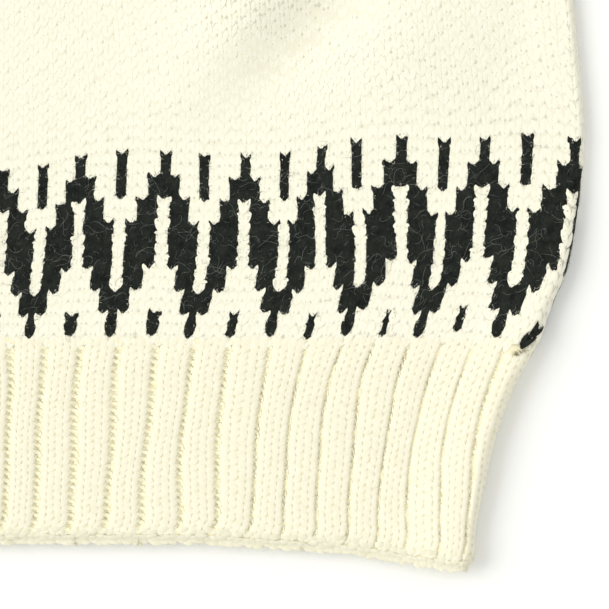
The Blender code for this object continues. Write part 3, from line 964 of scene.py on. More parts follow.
# ---- body stitches --------------------------------------------------------
def stitch_places():
    """(u, row) of every stitch of the front, with those round its folds."""
    u, r = np.meshgrid(np.arange(-68, 69), np.arange(-108, LAST_ROW))
    u, r = u.ravel(), r.ravel()
    centre = r + 0.5
    odd = (u % 2).astype(float)
    centre = centre - 0.5 * odd * np.clip(-r / 4.0, 0, 1) * (r < 0)
    y = row_y(u.astype(float), centre)
    a = np.abs(body_arc(u.astype(float), y))
    x = np.minimum(a, half_width(y))
    inside = (y < top_edge(np.minimum(x, SHOULDER[0]), FRONT_DROP) - 2.0) & (
        (y < 396.0) | (a < half_width(y) - 1.5)
    )
    inside &= (np.abs(u) <= 67) | (y < 386.0)
    inside &= (y > 77.0) | (chart(u, r) & (np.abs(u) < 66))
    inside &= (np.abs(u) <= 66) | (y > 96.0)
    return u[inside], r[inside], centre[inside], y[inside], a[inside]


su, sr, sc, sy, sa = stitch_places()
dark = chart(su, sr)
close = (su > 5) & (sy < 222.0)


ends_here = chart(su, sr - 1) != dark  # the stitch above has the other colour
alone = ~dark & chart(su - 1, sr) & chart(su + 1, sr)  # a pale bar one wale wide
# The short bars above the rib are drawn in by the cloth beside them, some more than others.
drawn_in = 1.0 - np.interp(su, (0, 16, 24, 32, 40, 48, 56, 64, 66), (1.0, 1.1, 1.05, 0.8, 0.72, 0.52, 0.8, 0.85, 0.9))
last_bars = (su > 5) & (sr >= 14) & (sr < 16)
slim = np.where(last_bars & (su % 8 == 0), -drawn_in, 0.0)
slim = slim + np.where(last_bars & ((su % 8 == 1) | (su % 8 == 7)), 0.85 * np.maximum(drawn_in, 0), 0.0)
beside_bar = last_bars & (slim > 0.05) & ~dark


def body_piece(name, choices, material, **more):
    lot = Lot()
    for form, chosen in choices:
        scatter(
            lot, form, leaning, su[chosen].astype(float), sc[chosen], (0.06, -0.06),
            lift=-0.15 + (0.85 * dark[chosen] * ease((87.0 - sy[chosen]) / 5.0) * (su[chosen] > 61))
            + 0.06 * alone[chosen] + 0.26 * (dark & (sr == 15))[chosen] + 0.12 * beside_bar[chosen],
            stretch=1.0 + 0.16 * alone[chosen] + 0.14 * (np.abs(su[chosen]) >= 64) + slim[chosen],
            floor=0.0,
            uneven=0.06 + 0.02 * alone[chosen][:, None], **more
        )
    return lot.put(name, material)


def two_forms(chosen):
    return ((NEAR, chosen & ~ends_here), (PRONGED, chosen & ends_here))


pieces_front = [
    body_piece("front_stitches_cream", two_forms(close & ~dark), cream, size=1.03, round_look=0.16),
    body_piece("front_stitches_dark", two_forms(close & dark), charcoal, round_look=0.3),
    # The far field's cream is the lightened copy: painted light.
    body_piece("front_field_cream", ((FAR, ~close & ~dark),), cream_far_painted_light, size=1.06, round_look=0.16),
    body_piece("front_field_dark", ((FAR, ~close & dark),), charcoal, round_look=0.3),
]


def band_fuzz():
    """Pale hairs lying over the dark yarn, and fibres that cross its edges."""
    steps = (0.06, -0.06)
    grey, pale, black, brown = Lot(), Lot(), Lot(), Lot()
    for many, long_from, long_to, radius in ((190, 4.5, 11.0, 0.045), (520, 1.8, 4.6, 0.036)):
        pick = RNG.choice(np.flatnonzero(close & dark), many)
        hairs(grey, leaning, su[pick] + RNG.normal(0, 0.4, many), sc[pick] + RNG.normal(0, 0.4, many), steps,
              RNG.normal(0.1, 0.7, many), RNG.uniform(long_from, long_to, many), radius,
              bend=1.7, parts=9, rise=0.35, lift=0.28)
    for du, dr in ((1, 0), (-1, 0), (0, 1), (0, -1)):
        edge = np.flatnonzero(close & dark & ~chart(su + du, sr + dr))
        for lot, many, radius, reach in ((black, 3, 0.055, 0.05), (pale, 2, 0.05, -0.06)):
            pick = np.repeat(edge, many)
            n = len(pick)
            out = 0.5 + reach + RNG.normal(0, 0.07, n)
            slide = RNG.uniform(-0.5, 0.5, n)
            way = math.atan2(-dr, du) + RNG.normal(0, 0.7, n)
            hairs(lot, leaning, su[pick] + du * out + abs(dr) * slide * 0.9, sc[pick] + dr * out + abs(du) * slide,
                  steps, way, RNG.uniform(0.7, 1.7, n), radius, bend=1.3, parts=3, rise=0.15, lift=0.29)
    # The yarn's end, where the last bar runs out beside the rib.
    n = 30
    along = RNG.uniform(0.32, 1.0, n)
    hairs(brown, knit_body, 63.9 - 1.35 * along + RNG.normal(0, 0.06, n), 15.55 + 1.45 * along + RNG.normal(0, 0.07, n),
          steps, 3.42 + RNG.normal(0, 0.25, n), RNG.uniform(1.4, 3.4, n), 0.065, bend=0.7, parts=5, rise=0.3, lift=1.5)
    return [
        brown.put("front_hairs_brown", hair_brown),
        pale.put("front_hairs_cream", cream),
        grey.put("front_hairs_grey", hair_grey),
        black.put("front_hairs_dark", charcoal),
    ]  # fmt: skip


# A flat mark for a hole between stitches; its material paints the hole's shade.
PORE = outward((
    np.array([(-1.0, 0.0, 0.0), (0.0, -1.9, 0.0), (1.0, 0.0, 0.0), (0.0, 1.9, 0.0), (0.0, 0.0, 0.06), (0.0, 0.0, -0.06)]),
    np.array([(0, 1, 4), (1, 2, 4), (2, 3, 4), (3, 0, 4), (1, 0, 5), (2, 1, 5), (3, 2, 5), (0, 3, 5)]),
))


def body_pores():
    """Flat dark marks where the legs of the stitches part: painted shade of the small holes there."""
    lot = Lot()
    plain = close & ~dark & ~chart(su, sr - 1)
    common = {"steps": (0.06, -0.06), "lift": 0.02, "jitter": 0.03, "round_look": 0.0, "floor": 0.0}
    # The marks grow toward the right side, which slopes away from the light, and in the trough: painted shade there.
    drawn = 1.05 * ease((sa - 160.0) / 50.0) * ease((sy - 150.0) / 30.0)
    trough_shade = np.exp(-(((sa - 142.0) / 30.0) ** 2) - ((sy - 214.0) / 17.0) ** 2)
    drawn = np.maximum(drawn, 1.0 * trough_shade)[:, None]
    band = 0.70 * (sr >= 0)[:, None]
    scatter(lot, PORE, knit_body, su[plain].astype(float), sc[plain] - 0.62, size=1.3 + band[plain] + drawn[plain], uneven=0.25, **common)
    beside = plain & ~chart(su + 1, sr) & ~chart(su + 1, sr + 1)
    scatter(lot, PORE, knit_body, su[beside] + 0.5, sc[beside] + 0.42, size=1.0 + band[beside] + drawn[beside], uneven=0.25, **common)
    # More, tan marks in the trough: painted shade of the trough.
    tan = Lot()
    deep = plain & (trough_shade > RNG.uniform(0.15, 0.8, len(su)))
    common["lift"] = 0.10
    scatter(tan, PORE, knit_body, su[deep].astype(float), sc[deep] - 0.62, size=1.8, uneven=0.2, **common)
    scatter(tan, PORE, knit_body, su[deep] + 0.5, sc[deep] + 0.42, size=1.6, uneven=0.3, **common)
    return [lot.put("front_pores", pore_shade_wool), tan.put("front_pores_deep", pore_tan_shade)]


pieces_front += band_fuzz()
pieces_front += body_pores()


# ---- the hem ribs ---------------------------------------------------------
def rib_shell(name, front):
    """Corrugated wall of one hem rib, from side fold to side fold."""
    steps = 10
    ts = np.array([0.0, 0.02, 0.05, 0.1, 0.17, 0.25, 0.34, 0.43, 0.52, 0.61, 0.7, 0.78, 0.85, 0.9, 0.935, 0.96, 0.98, 1.0])
    # Columns follow the ribs; the ends are where the tube folds.
    lines = []
    for t in ts:
        qs = np.arange(-2.28, RIBS - 2.28, 0.02)
        share = rib_arc(qs, np.full_like(qs, t))
        right = np.interp(0.25, share, qs)
        left = np.interp(0.75, share, qs) - RIBS
        lines.append((left, right))
    cols = 33 * steps + 1
    s = np.linspace(0, 1, cols)
    q_rows = []
    for left, right in lines:
        q_rows.append(left + s * (right - left) if front else right + s * (left + RIBS - right))
    # Each column keeps to its rib as nearly as the two folds allow.
    q = np.array(q_rows)
    t = np.repeat(ts[:, None], cols, 1)
    outer = ribbed(q, t, np.full_like(q, -0.18))
    inner = lifted(rib_line, q, t, np.full_like(q, -2.2 - 0.75 * RIB_DEEP), 0.02, -0.004)
    if not front:
        outer[..., 2] = np.maximum(outer[..., 2], 0.05)
    points, faces, _ = closed_shell(outer, inner, False)
    # The shell shows in the valleys between the ribs; its colour is painted shade.
    obj = put(name, points, faces, rib_valley_shade_base)
    right_way_out(obj)
    return obj


hem_front = rib_shell("hem_rib_front_cloth", True)
hem_back = rib_shell("hem_rib_back_cloth", False)

RIB_STITCH = (
    (0.5, -5.4, 0.0, 0.0, 0.10),
    (1.4, -3.8, 2.2, 0.26, 0.12),
    (2.8, -1.2, 3.4, 0.36, 0.09),
    (3.8, 1.2, 3.5, 0.36, 0.02),
    (4.8, 3.2, 2.5, 0.26, -0.06),
    (5.9, 5.2, 0.0, 0.0, -0.16),
)
RIB_NEAR = pair(leg_form(RIB_STITCH, 6))
RIB_FAR = pair(
    (
        np.array([(0.9, -5.0, -0.1), (6.3, 0.2, -0.2), (-0.1, -0.4, -0.2), (3.1, -0.2, 0.42), (5.1, 5.0, -0.25)]),
        np.array([(0, 1, 3), (0, 3, 2), (4, 3, 1), (4, 2, 3), (0, 2, 1), (4, 1, 2)]),
    )
)
PURL = outward(leg_form(
    (
        (-5.4, 3.4, 0.0, 0.0, -0.24),
        (-3.0, 2.1, 2.0, 0.26, -0.02),
        (0.0, 0.1, 2.9, 0.34, 0.06),
        (3.0, -2.1, 2.3, 0.28, 0.02),
        (5.4, -3.7, 0.0, 0.0, -0.20),
    ),
    5,
))
BIND = outward(leg_form(
    (
        (-7.0, 0.6, 0.0, 0.0, -0.30),
        (-3.8, -0.2, 2.2, 0.42, 0.0),
        (0.0, -0.6, 3.1, 0.55, 0.10),
        (3.8, -0.2, 2.4, 0.42, 0.0),
        (7.0, 0.8, 0.0, 0.0, -0.30),
    ),
    6,
))
RIB_PITCH = 36.0  # one rib across, in units


def rib_surface(q, row):
    """The ribbed surface without its normal offset, for stitches on it."""
    t = row / RIB_ROWS
    return ribbed(q, t, 0.0 * q)


def rib_places(front):
    ribs = np.arange(-21, 17) if front else np.arange(13, 47)
    q, row = np.meshgrid(ribs, np.arange(-1 if front else 0, RIB_ROWS - 1 if front else RIB_ROWS))
    return q.ravel().astype(float), row.ravel() + 0.5


def in_view(q, row):
    """Ribs of the front that the close view shows."""
    share = rib_arc(q, row / RIB_ROWS)
    return (share > 0.024) & (share < 0.262)


def on_front(q, row, slack=0.0):
    share = rib_arc(q, row / RIB_ROWS)
    return (share < 0.25 + slack) | (share > 0.75 - slack)


def rib_pieces(front):
    q, row = rib_places(front)
    place, rows, wide = [], [], []
    for side in (-1, 1):
        half = 0.5 - valley_half(q + 0.5) * 0.9
        place.append(q + 0.5 + side * 0.5 * half)
        rows.append(row)
        wide.append(half * RIB_PITCH / 12.4)
    place, rows, wide = (np.concatenate(x) for x in (place, rows, wide))
    keep = on_front(place, rows, 0.004) == front
    if front:  # none beneath the border's last bar
        bar = leaning(np.full(7, 64.0), np.linspace(14.2, 16.2, 7))
        here = rib_surface(place, rows)
        keep &= np.linalg.norm(here[:, None, :2] - bar[None, :, :2], axis=2).min(1) > 2.6
    place, rows, wide = place[keep], rows[keep], wide[keep]
    near = in_view(place, rows)
    label = "front" if front else "back"
    common = {"steps": (0.02, -0.1), "lift": -0.2, "pitch": (RIB_PITCH, 7.05), "uneven": 0.05}
    pieces = []
    if front:
        lot = Lot()
        scatter(lot, RIB_NEAR, rib_surface, place[near], rows[near], jitter=0.010, stretch=wide[near], round_look=0.25, **common)
        pieces.append(lot.put("hem_rib_stitches_front", rib_wool))
        lot = Lot()
        # Tan marks in the holes between the rib's stitches: painted shade.
        seen = near & (RNG.random(len(near)) < 0.36)
        side = RNG.choice((0.0, 0.0, 0.07), len(near))
        holes = {**common, "lift": 0.0, "uneven": 0.3}
        scatter(lot, PORE, rib_surface, (place + side)[seen], rows[seen] - 0.62, size=1.3, jitter=0.014, round_look=0.0, floor=0.0, **holes)
        pieces.append(lot.put("hem_rib_pores_front", pore_tan_shade))
        place, rows, wide = place[~near], rows[~near], wide[~near]
    lot = Lot()
    scatter(lot, RIB_FAR, rib_surface, place, rows, jitter=0.010, stretch=wide, floor=0.0, round_look=0.22, **common)
    pieces.append(lot.put("hem_rib_field_" + label, rib_wool))
    if front:
        q, row = rib_places(True)
        keep = on_front(q, row, 0.004)
        q, row = q[keep], row[keep]
        lot = Lot()
        common["lift"] = 0.02 - 0.17 * ((q > 11.5) & (q < 15.5))
        width = np.clip(valley_half(q) / 0.115, 0.35, 1.0)
        scatter(lot, PURL, rib_surface, q, row, jitter=0.012, stretch=width, round_look=0.35, **common)
        # The purls' colour is painted valley shade.
        pieces.append(lot.put("hem_rib_purls_front", purl_shade_wool))
        edge_rows = ((0.27, 26.6), (0.20, 27.4), (0.19, 27.8), (0.20, 28.1))
        q = np.concatenate([np.arange(-21, 17, step) for step, _ in edge_rows])
        row = np.concatenate([np.full(len(np.arange(-21, 17, step)), at) for step, at in edge_rows])
        q, row = q + RNG.normal(0, 0.03, len(q)), row + RNG.normal(0, 0.13, len(q))
        keep = on_front(q, row, 0.004)
        lot = Lot()
        common["lift"], common["uneven"] = 0.0, 0.16
        scatter(lot, BIND, rib_surface, q[keep], row[keep], jitter=0.02, round_look=0.5, floor=0.2, **common)
        # The cast-off edge's lobes carry painted shade.
        pieces.append(lot.put("hem_rib_edge_front", edge_shade_wool))
        lot = Lot()
        for at, many in ((2.30, 46), (4.08, 34), (5.7, 16), (0.4, 14), (8.6, 12)):
            hairs(
                lot, rib_surface, at + RNG.normal(0, 0.055, many), 28.3 + RNG.normal(0, 0.22, many), (0.02, -0.1),
                RNG.uniform(0, 6.283, many), RNG.uniform(1.4, 3.4, many), 0.07, bend=1.6, lift=0.2, rise=0.9,
                pitch=(RIB_PITCH, 7.05),
            )
        # The fluff takes the same painted edge shade.
        pieces.append(lot.put("hem_rib_fluff_front", edge_shade_wool))
    return pieces


pieces_rib_front = rib_pieces(True)
pieces_rib_back = rib_pieces(False)


# ---- sleeves and cuffs ----------------------------------------------------
CUFF_DIR = (0.670, -0.742)
UNDERARM_SEAM, WRIST = 414.0, 112.0
SEAM = 0.3
SLEEVE_TOP = curve_of(
    [  # (share along the underarm seam, share along the top edge)
        (0.0, 0.0), (0.035, 0.085), (0.085, 0.18), (0.16, 0.285), (0.26, 0.395),
        (0.38, 0.51), (0.51, 0.625), (0.65, 0.745), (0.79, 0.86), (0.91, 0.945),
        (0.97, 0.98), (1.0, 1.0),
    ]
)  # fmt: skip
SLEEVE_DRAWN = curve_of([(0.0, 0.0), (0.79, 0.0), (0.91, 0.6), (0.97, 3.2), (1.0, 8.0)])
SLEEVE_SWELLS = (  # (arc across, arc along, across, along, height) of soft creases
    (-40.0, 40.0, 60.0, 12.0, -1.5),
    (-55.0, 62.0, 50.0, 10.0, 1.2),
    (25.0, 120.0, 90.0, 17.0, -1.4),
    (-20.0, 175.0, 80.0, 15.0, 1.2),
    (10.0, 250.0, 70.0, 15.0, -1.5),
    (-25.0, 330.0, 60.0, 14.0, -1.2),
    (15.0, 365.0, 60.0, 12.0, 1.1),
    (0.0, 440.0, 60.0, 12.0, -1.1),
)
SLEEVE_ROW = 4.46
SLEEVE_LONG = 522.0  # along its middle line


def underarm_line(t):
    s = t * UNDERARM_SEAM
    return np.stack([UNDERARM[0] + CUFF_DIR[0] * s, UNDERARM[1] + CUFF_DIR[1] * s], -1)


def sleeve_edge(t):
    """The top edge, one cubic from the shoulder tip to the wrist."""
    n = np.array([-CUFF_DIR[1], CUFF_DIR[0]])
    way = np.array(CUFF_DIR)
    start = np.array(SHOULDER)
    end = underarm_line(np.array(1.0)) + n * WRIST
    first = start + [108.0, -38.0]
    last = end - way * 205.0
    t = np.asarray(t)[..., None]
    return (1 - t) ** 3 * start + 3 * t * (1 - t) ** 2 * first + 3 * t * t * (1 - t) * last + t**3 * end


def tube_point(low, high, a, turn, level, reach=REACH, stand=STAND, extra=0.0):
    """Outer point at arc a from the middle of a flattened tube's upper layer."""
    across = high - low
    half = np.linalg.norm(across, axis=-1) / 2
    way = across / (2 * half[..., None])
    flat = half - turn
    quarter = turn * math.pi / 2
    tip = flat + quarter
    a = np.where(a > 2 * tip, a - 4 * tip, np.where(a < -2 * tip, a + 4 * tip, a))
    side = np.where(a < 0, -1.0, 1.0)
    w = np.abs(a)
    k = np.clip((w - flat) / quarter, 0.0, 2.0)
    x = np.where(w <= flat, w, np.where(k < 2, flat + turn * np.sin(k * math.pi / 2), 2 * tip - w))
    top = level + stand * ease(1 - (flat - w) / reach) + extra * ease((flat - w) / 16.0)
    z = np.where(w <= flat, top, np.where(k < 2, turn + turn * np.cos(k * math.pi / 2), 0.0))
    place = (low + high) / 2 + way * (x * side)[..., None]
    return np.concatenate([place, z[..., None]], -1)


def sleeve_ends(t):
    low, high = underarm_line(t), sleeve_edge(SLEEVE_TOP(t))
    size = np.linalg.norm(high - low, axis=-1, keepdims=True)
    way = (high - low) / size
    n = np.array([SHOULDER[1] - UNDERARM[1], UNDERARM[0] - SHOULDER[0]])
    off = n / np.linalg.norm(n) * 0.4 * (1 - ease(t / 0.02))[..., None]
    drawn = SLEEVE_DRAWN(t)[..., None]
    return low + way * drawn + off, high - way * drawn + off


def sleeve_place(a, row):
    t = np.clip(row * SLEEVE_ROW / SLEEVE_LONG, 0.0, 1.0)
    low, high = sleeve_ends(t)
    along = t * SLEEVE_LONG
    extra = 0.0
    for ca, cs, wa, ws, high_by in SLEEVE_SWELLS:
        extra = extra + high_by * np.exp(-2.2 * (((a - ca) / wa) ** 2 + ((along - cs - 0.15 * a) / ws) ** 2))
    return tube_point(low, high, a, BODY_TURN, BODY_TOP, extra=extra * ease(along / 12.0))


def sleeve_knit(u, row):
    return sleeve_place(u * 4.12, row)


def tube_half(ends, turn):
    low, high = ends
    return np.linalg.norm(high - low, axis=-1) / 2 - turn + turn * math.pi / 2


def mirrored(points, side):
    return points if side > 0 else points * [-1.0, 1.0, 1.0]


def tube_shell(surface, rows, tip, off, thick, pitch, cols=96):
    """A closed wall round a flattened tube, made for the wearer's left."""
    share = np.linspace(-1, 1, cols + 1)[:-1]
    # More columns at the folds.
    share = share + 0.055 * np.sin(share * 2 * math.pi)
    a = share[None] * 2 * tip[:, None]
    row = np.repeat(rows[:, None], cols, 1)
    sunk = -off * ease((np.abs(share) - 0.44) / 0.08) + 0 * a
    outer = lifted(surface, a / pitch, row, sunk, 0.05, -0.1)
    inner = lifted(surface, a / pitch, row, np.full_like(a, -off - thick), 0.05, -0.1)
    points, faces, n_top = closed_shell(outer, inner, True)
    uv = np.stack([a / pitch, row], -1).reshape(-1, 2)
    past = uv + np.stack([4 * tip[:, None] / pitch + 0 * a, 0 * row], -1).reshape(-1, 2)
    mid = (share + np.append(share[1:], 1.0)) / 2
    index = np.full(len(faces), 2)
    index[:n_top] = np.tile(np.where(np.abs(mid) < 0.505, 0, 1), len(rows) - 1)
    return points, faces, np.concatenate([uv, uv]), np.concatenate([past, past]), index


class Half:
    """Copies of the left piece's arrays, for the wearer's right."""

    @staticmethod
    def put(name, points, faces, material, uvs=None, past=None, side=1, index=None, materials=None):
        faces = faces if side > 0 else faces[:, ::-1]
        return put(name, mirrored(points, side), faces, material, index, materials, uvs, past)


def sleeve_pieces():
    rows = np.concatenate([[0.0, 0.5], np.linspace(1.5, SLEEVE_LONG / SLEEVE_ROW, 64)])
    t = np.clip(rows * SLEEVE_ROW / SLEEVE_LONG, 0, 1)
    tip = tube_half(sleeve_ends(t), BODY_TURN)
    points, faces, uv, past, index = tube_shell(sleeve_knit, rows, tip, 0.25, 1.8, 4.12)
    last = SLEEVE_LONG / SLEEVE_ROW
    u, r = np.meshgrid(np.arange(-28, 29), np.arange(0, int(last)))
    u, r = u.ravel().astype(float), r.ravel() + 0.5
    r = r - 0.5 * (u % 2) * ((r > 1) & (r < last - 1))
    tips = tube_half(sleeve_ends(np.clip(r * SLEEVE_ROW / SLEEVE_LONG, 0, 1)), BODY_TURN)
    keep = np.abs(u) * 4.12 < tips + 2.5
    made = []
    for side, label in ((1, "left"), (-1, "right")):
        # The upper side takes the painted gap shade.
        woven = [gap_shade_base, cream_base, inside_base]
        shell = Half.put("sleeve_%s_cloth" % label, points, faces, None, uv, past, side, index, woven)
        right_way_out(shell)
        lot = Lot()
        scatter(lot, FAR, sleeve_knit, u[keep], r[keep], (0.06, -0.06), size=1.06, lift=-0.15, round_look=0.16, floor=0.0)
        if side < 0:
            lot.flip()
        # Sleeve stitches use the lightened copy: painted light.
        field = lot.put("sleeve_%s_stitches" % label, cream_far_painted_light)
        made.append((shell, [field]))
    return made


CUFF_LONG, CUFF_END, CUFF_RIBS, CUFF_ROWS, CUFF_TURN = 71.0, 43.0, 14, 25, 4.8


def cuff_ends(t):
    n = np.array([-CUFF_DIR[1], CUFF_DIR[0]])
    middle = underarm_line(np.array(1.0)) + n * WRIST / 2
    start = WRIST / 2 - 8.0
    half = start + (CUFF_END - start) * np.sin(np.clip(t, 0, 1) * math.pi / 2)
    centre = middle + np.array(CUFF_DIR) * (1.0 + np.asarray(t) * CUFF_LONG)[..., None]
    return centre - n * half[..., None], centre + n * half[..., None]


def cuff_line(q, t):
    ends = cuff_ends(t)
    tip = tube_half(ends, CUFF_TURN)
    a = (q / CUFF_RIBS - 0.5) * 4 * tip
    return tube_point(*ends, a, CUFF_TURN, RIB_LEVEL, stand=1.8)


def plain_relief(q, t, deep=1.7):
    f = q - np.floor(q)
    near = np.minimum(f, 1 - f)
    column = np.clip((near - 0.02) / 0.19, 0, 1)
    wall = np.sqrt(np.clip(1 - (1 - column) ** 2, 0, 1))
    low = deep * (1 - wall) + 0.3 * (1 - near / 0.5) ** 2
    return low * (1 - 0.5 * ease((t - 0.9) / 0.1))


def cuff_ribbed(q, row):
    t = row / CUFF_ROWS
    return lifted(cuff_line, q, t, -plain_relief(q, t), 0.02, -0.004)


def cuff_pieces():
    rows = np.array([0.0, 0.5, 1.5, 3, 5, 7.5, 10, 13, 16, 19, 21.5, 23.3, 24.4, 25.0])
    cols = CUFF_RIBS * 10
    q = np.repeat(np.arange(cols)[None] / 10.0, len(rows), 0)
    row = np.repeat(rows[:, None], cols, 1)
    outer = lifted(cuff_ribbed, q, row, np.full_like(q, -0.4), 0.02, -0.1)
    inner = lifted(cuff_line, q, row / CUFF_ROWS, np.full_like(q, -2.9), 0.02, -0.004)
    outer[..., 2] = np.maximum(outer[..., 2], 0.05)
    points, faces, _ = closed_shell(outer, inner, True)
    half = 0.5 - 0.11 * 0.9
    u = np.concatenate([np.arange(CUFF_RIBS) + 0.5 + k * 0.5 * half for k in (-1, 1)])
    u, r = np.meshgrid(u, np.arange(CUFF_ROWS) + 0.5)
    u, r = u.ravel(), r.ravel()
    made = []
    for side, label in ((1, "left"), (-1, "right")):
        # The cuff's shell takes the painted valley shade.
        shell = Half.put("cuff_%s_cloth" % label, points, faces, rib_valley_shade_base, side=side)
        right_way_out(shell)
        lot = Lot()
        scatter(
            lot, RIB_FAR, cuff_ribbed, u, r, (0.02, -0.1), lift=-0.2, jitter=0.01, floor=0.0,
            pitch=(RIB_PITCH, 7.05), uneven=0.05, stretch=np.full(len(u), half * RIB_PITCH / 12.4),
        )
        if side < 0:
            lot.flip()
        field = lot.put("cuff_%s_stitches" % label, rib_wool)
        made.append((shell, [field]))
    return made


# ---- the neckband ---------------------------------------------------------
NECK_RIBS, NECK_ROWS = 28, 9
NECK_TURN = 0.5 * (3.0 + 0.6 + 1.4)


def neck_line(angle, t):
    """Middle of the neckband's wall; the front half lies on top."""
    c, s = np.cos(angle), np.sin(angle)
    half = 88.0 + t * (68.0 - 88.0)
    z_mid = 1.5 + NECK_TURN
    inset = np.minimum(1.0, half / NECK_TURN * (1 - np.abs(c)))
    up = NECK_TURN * np.sqrt(np.clip(1 - (1 - inset) ** 2, 0, 1))
    far = half * (1 - np.abs(c)) - NECK_TURN
    fall = 1.4 * (1 - ease(1 - far / 27.0)) * (far > 0)
    z = np.where(s <= 0, z_mid + up - fall, z_mid - up)
    front_low, back_low = 80.0 - 1.0, 22.0 - 1.0
    front_top, back_top = 655.0 - (640.0 - 80.0 + 26.0), 655.0 - (640.0 - 22.0 + 26.0)
    low_x, low_y = 87.1 * c, 640.0 - np.where(s <= 0, front_low, back_low) * np.abs(s)
    top_x, top_y = 68.0 * c, 655.0 - np.where(s <= 0, front_top, back_top) * np.abs(s)
    return np.stack([low_x + t * (top_x - low_x), low_y + t * (top_y - low_y), z], -1)


def neck_shares():
    """Angle against the share of the band's length, measured at its middle."""
    angle = np.linspace(-math.pi, math.pi, 2001)
    p = neck_line(angle, np.full_like(angle, 0.5))
    step = np.linalg.norm(np.diff(p, axis=0), axis=1)
    return np.concatenate([[0], np.cumsum(step)]) / step.sum(), angle


NECK_SHARES, NECK_ANGLES = neck_shares()


def neck_at(q, row):
    share = (q / NECK_RIBS) % 1.0
    return neck_line(np.interp(share, NECK_SHARES, NECK_ANGLES), row / NECK_ROWS)


def neck_out(q, row, h):
    """Off the wall's middle along its outward normal, with no step at the folds."""
    base = neck_at(q, row)
    along = unit(neck_at(q + 0.05, row) - neck_at(q - 0.05, row))
    up = unit(neck_at(q, row + 0.1) - neck_at(q, row - 0.1))
    normal = unit(np.cross(along, up))
    return base + normal * np.asarray(h)[..., None]


def neck_ribbed(q, row):
    return neck_out(q, row, 1.5 - plain_relief(q, row / NECK_ROWS, 1.2))


def neck_ribbed_inside(q, row):
    return neck_out(-q, row, -1.5 + plain_relief(-q + 0.5, row / NECK_ROWS, 1.2))


def neck_pieces():
    rows = np.array([0.0, 0.6, 1.8, 3.2, 4.6, 6.0, 7.4, 8.4, 9.0])
    cols = NECK_RIBS * 10
    q = np.repeat(np.arange(cols)[None] / 10.0, len(rows), 0)
    row = np.repeat(rows[:, None], cols, 1)
    relief = plain_relief(q, row / NECK_ROWS, 1.2)
    relief_in = plain_relief(q + 0.5, row / NECK_ROWS, 1.2)
    outer = neck_out(q, row, 1.5 - relief - 0.4)
    inner = neck_out(q, row, -1.5 + relief_in + 0.4)
    outer[..., 2] = np.maximum(outer[..., 2], 0.05)
    points, faces, _ = closed_shell(outer, inner, True)
    # The neckband's shell takes the painted valley shade.
    shell = put("neckband_cloth", points, faces, rib_valley_shade_base)
    right_way_out(shell)
    half = 0.5 - 0.11 * 0.9
    u = np.concatenate([np.arange(NECK_RIBS) + 0.5 + k * 0.5 * half for k in (-1, 1)])
    u, r = np.meshgrid(u, np.arange(NECK_ROWS) + 0.5)
    u, r = u.ravel(), r.ravel()
    lot = Lot()
    common = {
        "steps": (0.02, -0.1), "lift": -0.2, "jitter": 0.01, "floor": 0.0, "size": 0.95,
        "pitch": (RIB_PITCH, 7.05), "stretch": np.full(len(u), half * RIB_PITCH / 12.4),
    }
    scatter(lot, RIB_FAR, lambda q, r: neck_ribbed(q, NECK_ROWS - r), u, r, **common)
    behind = np.interp((-(u + 0.5) / NECK_RIBS) % 1.0, NECK_SHARES, NECK_ANGLES) > 0
    common["stretch"] = common["stretch"][behind]
    scatter(lot, RIB_FAR, lambda q, r: neck_ribbed_inside(q, NECK_ROWS - r), u[behind] + 0.5, r[behind], **common)
    return shell, [lot.put("neckband_stitches", rib_wool)]


# ---- seams ----------------------------------------------------------------
def seam_chain(name, corners, level, material, under=False):
    """A chain of lobes that covers a seam. corners: points of its line, in mm."""
    corners = np.asarray(corners, float)
    run = np.concatenate([[0.0], np.cumsum(np.linalg.norm(np.diff(corners, axis=0), axis=1))])
    step = 4.12

    def line(u):
        return np.stack([np.interp(u * step, run, corners[:, k]) for k in (0, 1)], -1)

    def surface(u, row):
        along = unit(line(u + 0.1) - line(u - 0.1))
        side = np.stack([-along[..., 1], along[..., 0]], -1) * (-1 if under else 1)
        place = line(u) - side * (row * SLEEVE_ROW)[..., None]
        return np.concatenate([place, (level + 0 * row)[..., None]], -1)

    u = np.arange(0.5, run[-1] / step - 0.3, 0.9)
    lot = Lot()
    scatter(lot, BIND, surface, u, 0 * u, (0.06, -0.06), jitter=0.03, round_look=0.4, floor=0.05)
    return lot.put(name, material)


def seam_pieces():
    """Armhole seams (on the sleeves) and the neck's seam (on the neckband)."""
    arm = np.linspace(UNDERARM, SHOULDER, 30)
    by_side = []
    for side, label in ((1, "left"), (-1, "right")):
        line = arm * [side, 1]
        over = seam_chain("sleeve_%s_seam_over" % label, line, BODY_TOP + 0.05, cream)
        below = seam_chain("sleeve_%s_seam_under" % label, line, 0.55, cream, under=True)
        by_side.append([over, below])
    c = np.linspace(-0.995, 0.995, 160)
    neck = np.stack([NECK_HALF * c, NECK_Y - FRONT_DROP * np.sqrt(1 - c * c)], -1)
    return by_side, [seam_chain("neckband_seam", neck, BODY_TOP - 0.1, rib_wool)]


sleeves = sleeve_pieces()
cuffs = cuff_pieces()
neckband, pieces_neck = neck_pieces()
seams_arm, seams_neck = seam_pieces()
pieces_neck += seams_neck
for (_, more), seams in zip(sleeves, seams_arm):
    more += seams


# ---- pieces on the body, their CAD parts hidden ---------------------------
def belongs(piece, node, slot):
    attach(piece, "root")
    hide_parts(node)


def slot_of(piece, plain):
    return "charcoal_wool" if "dark" in piece.name else plain


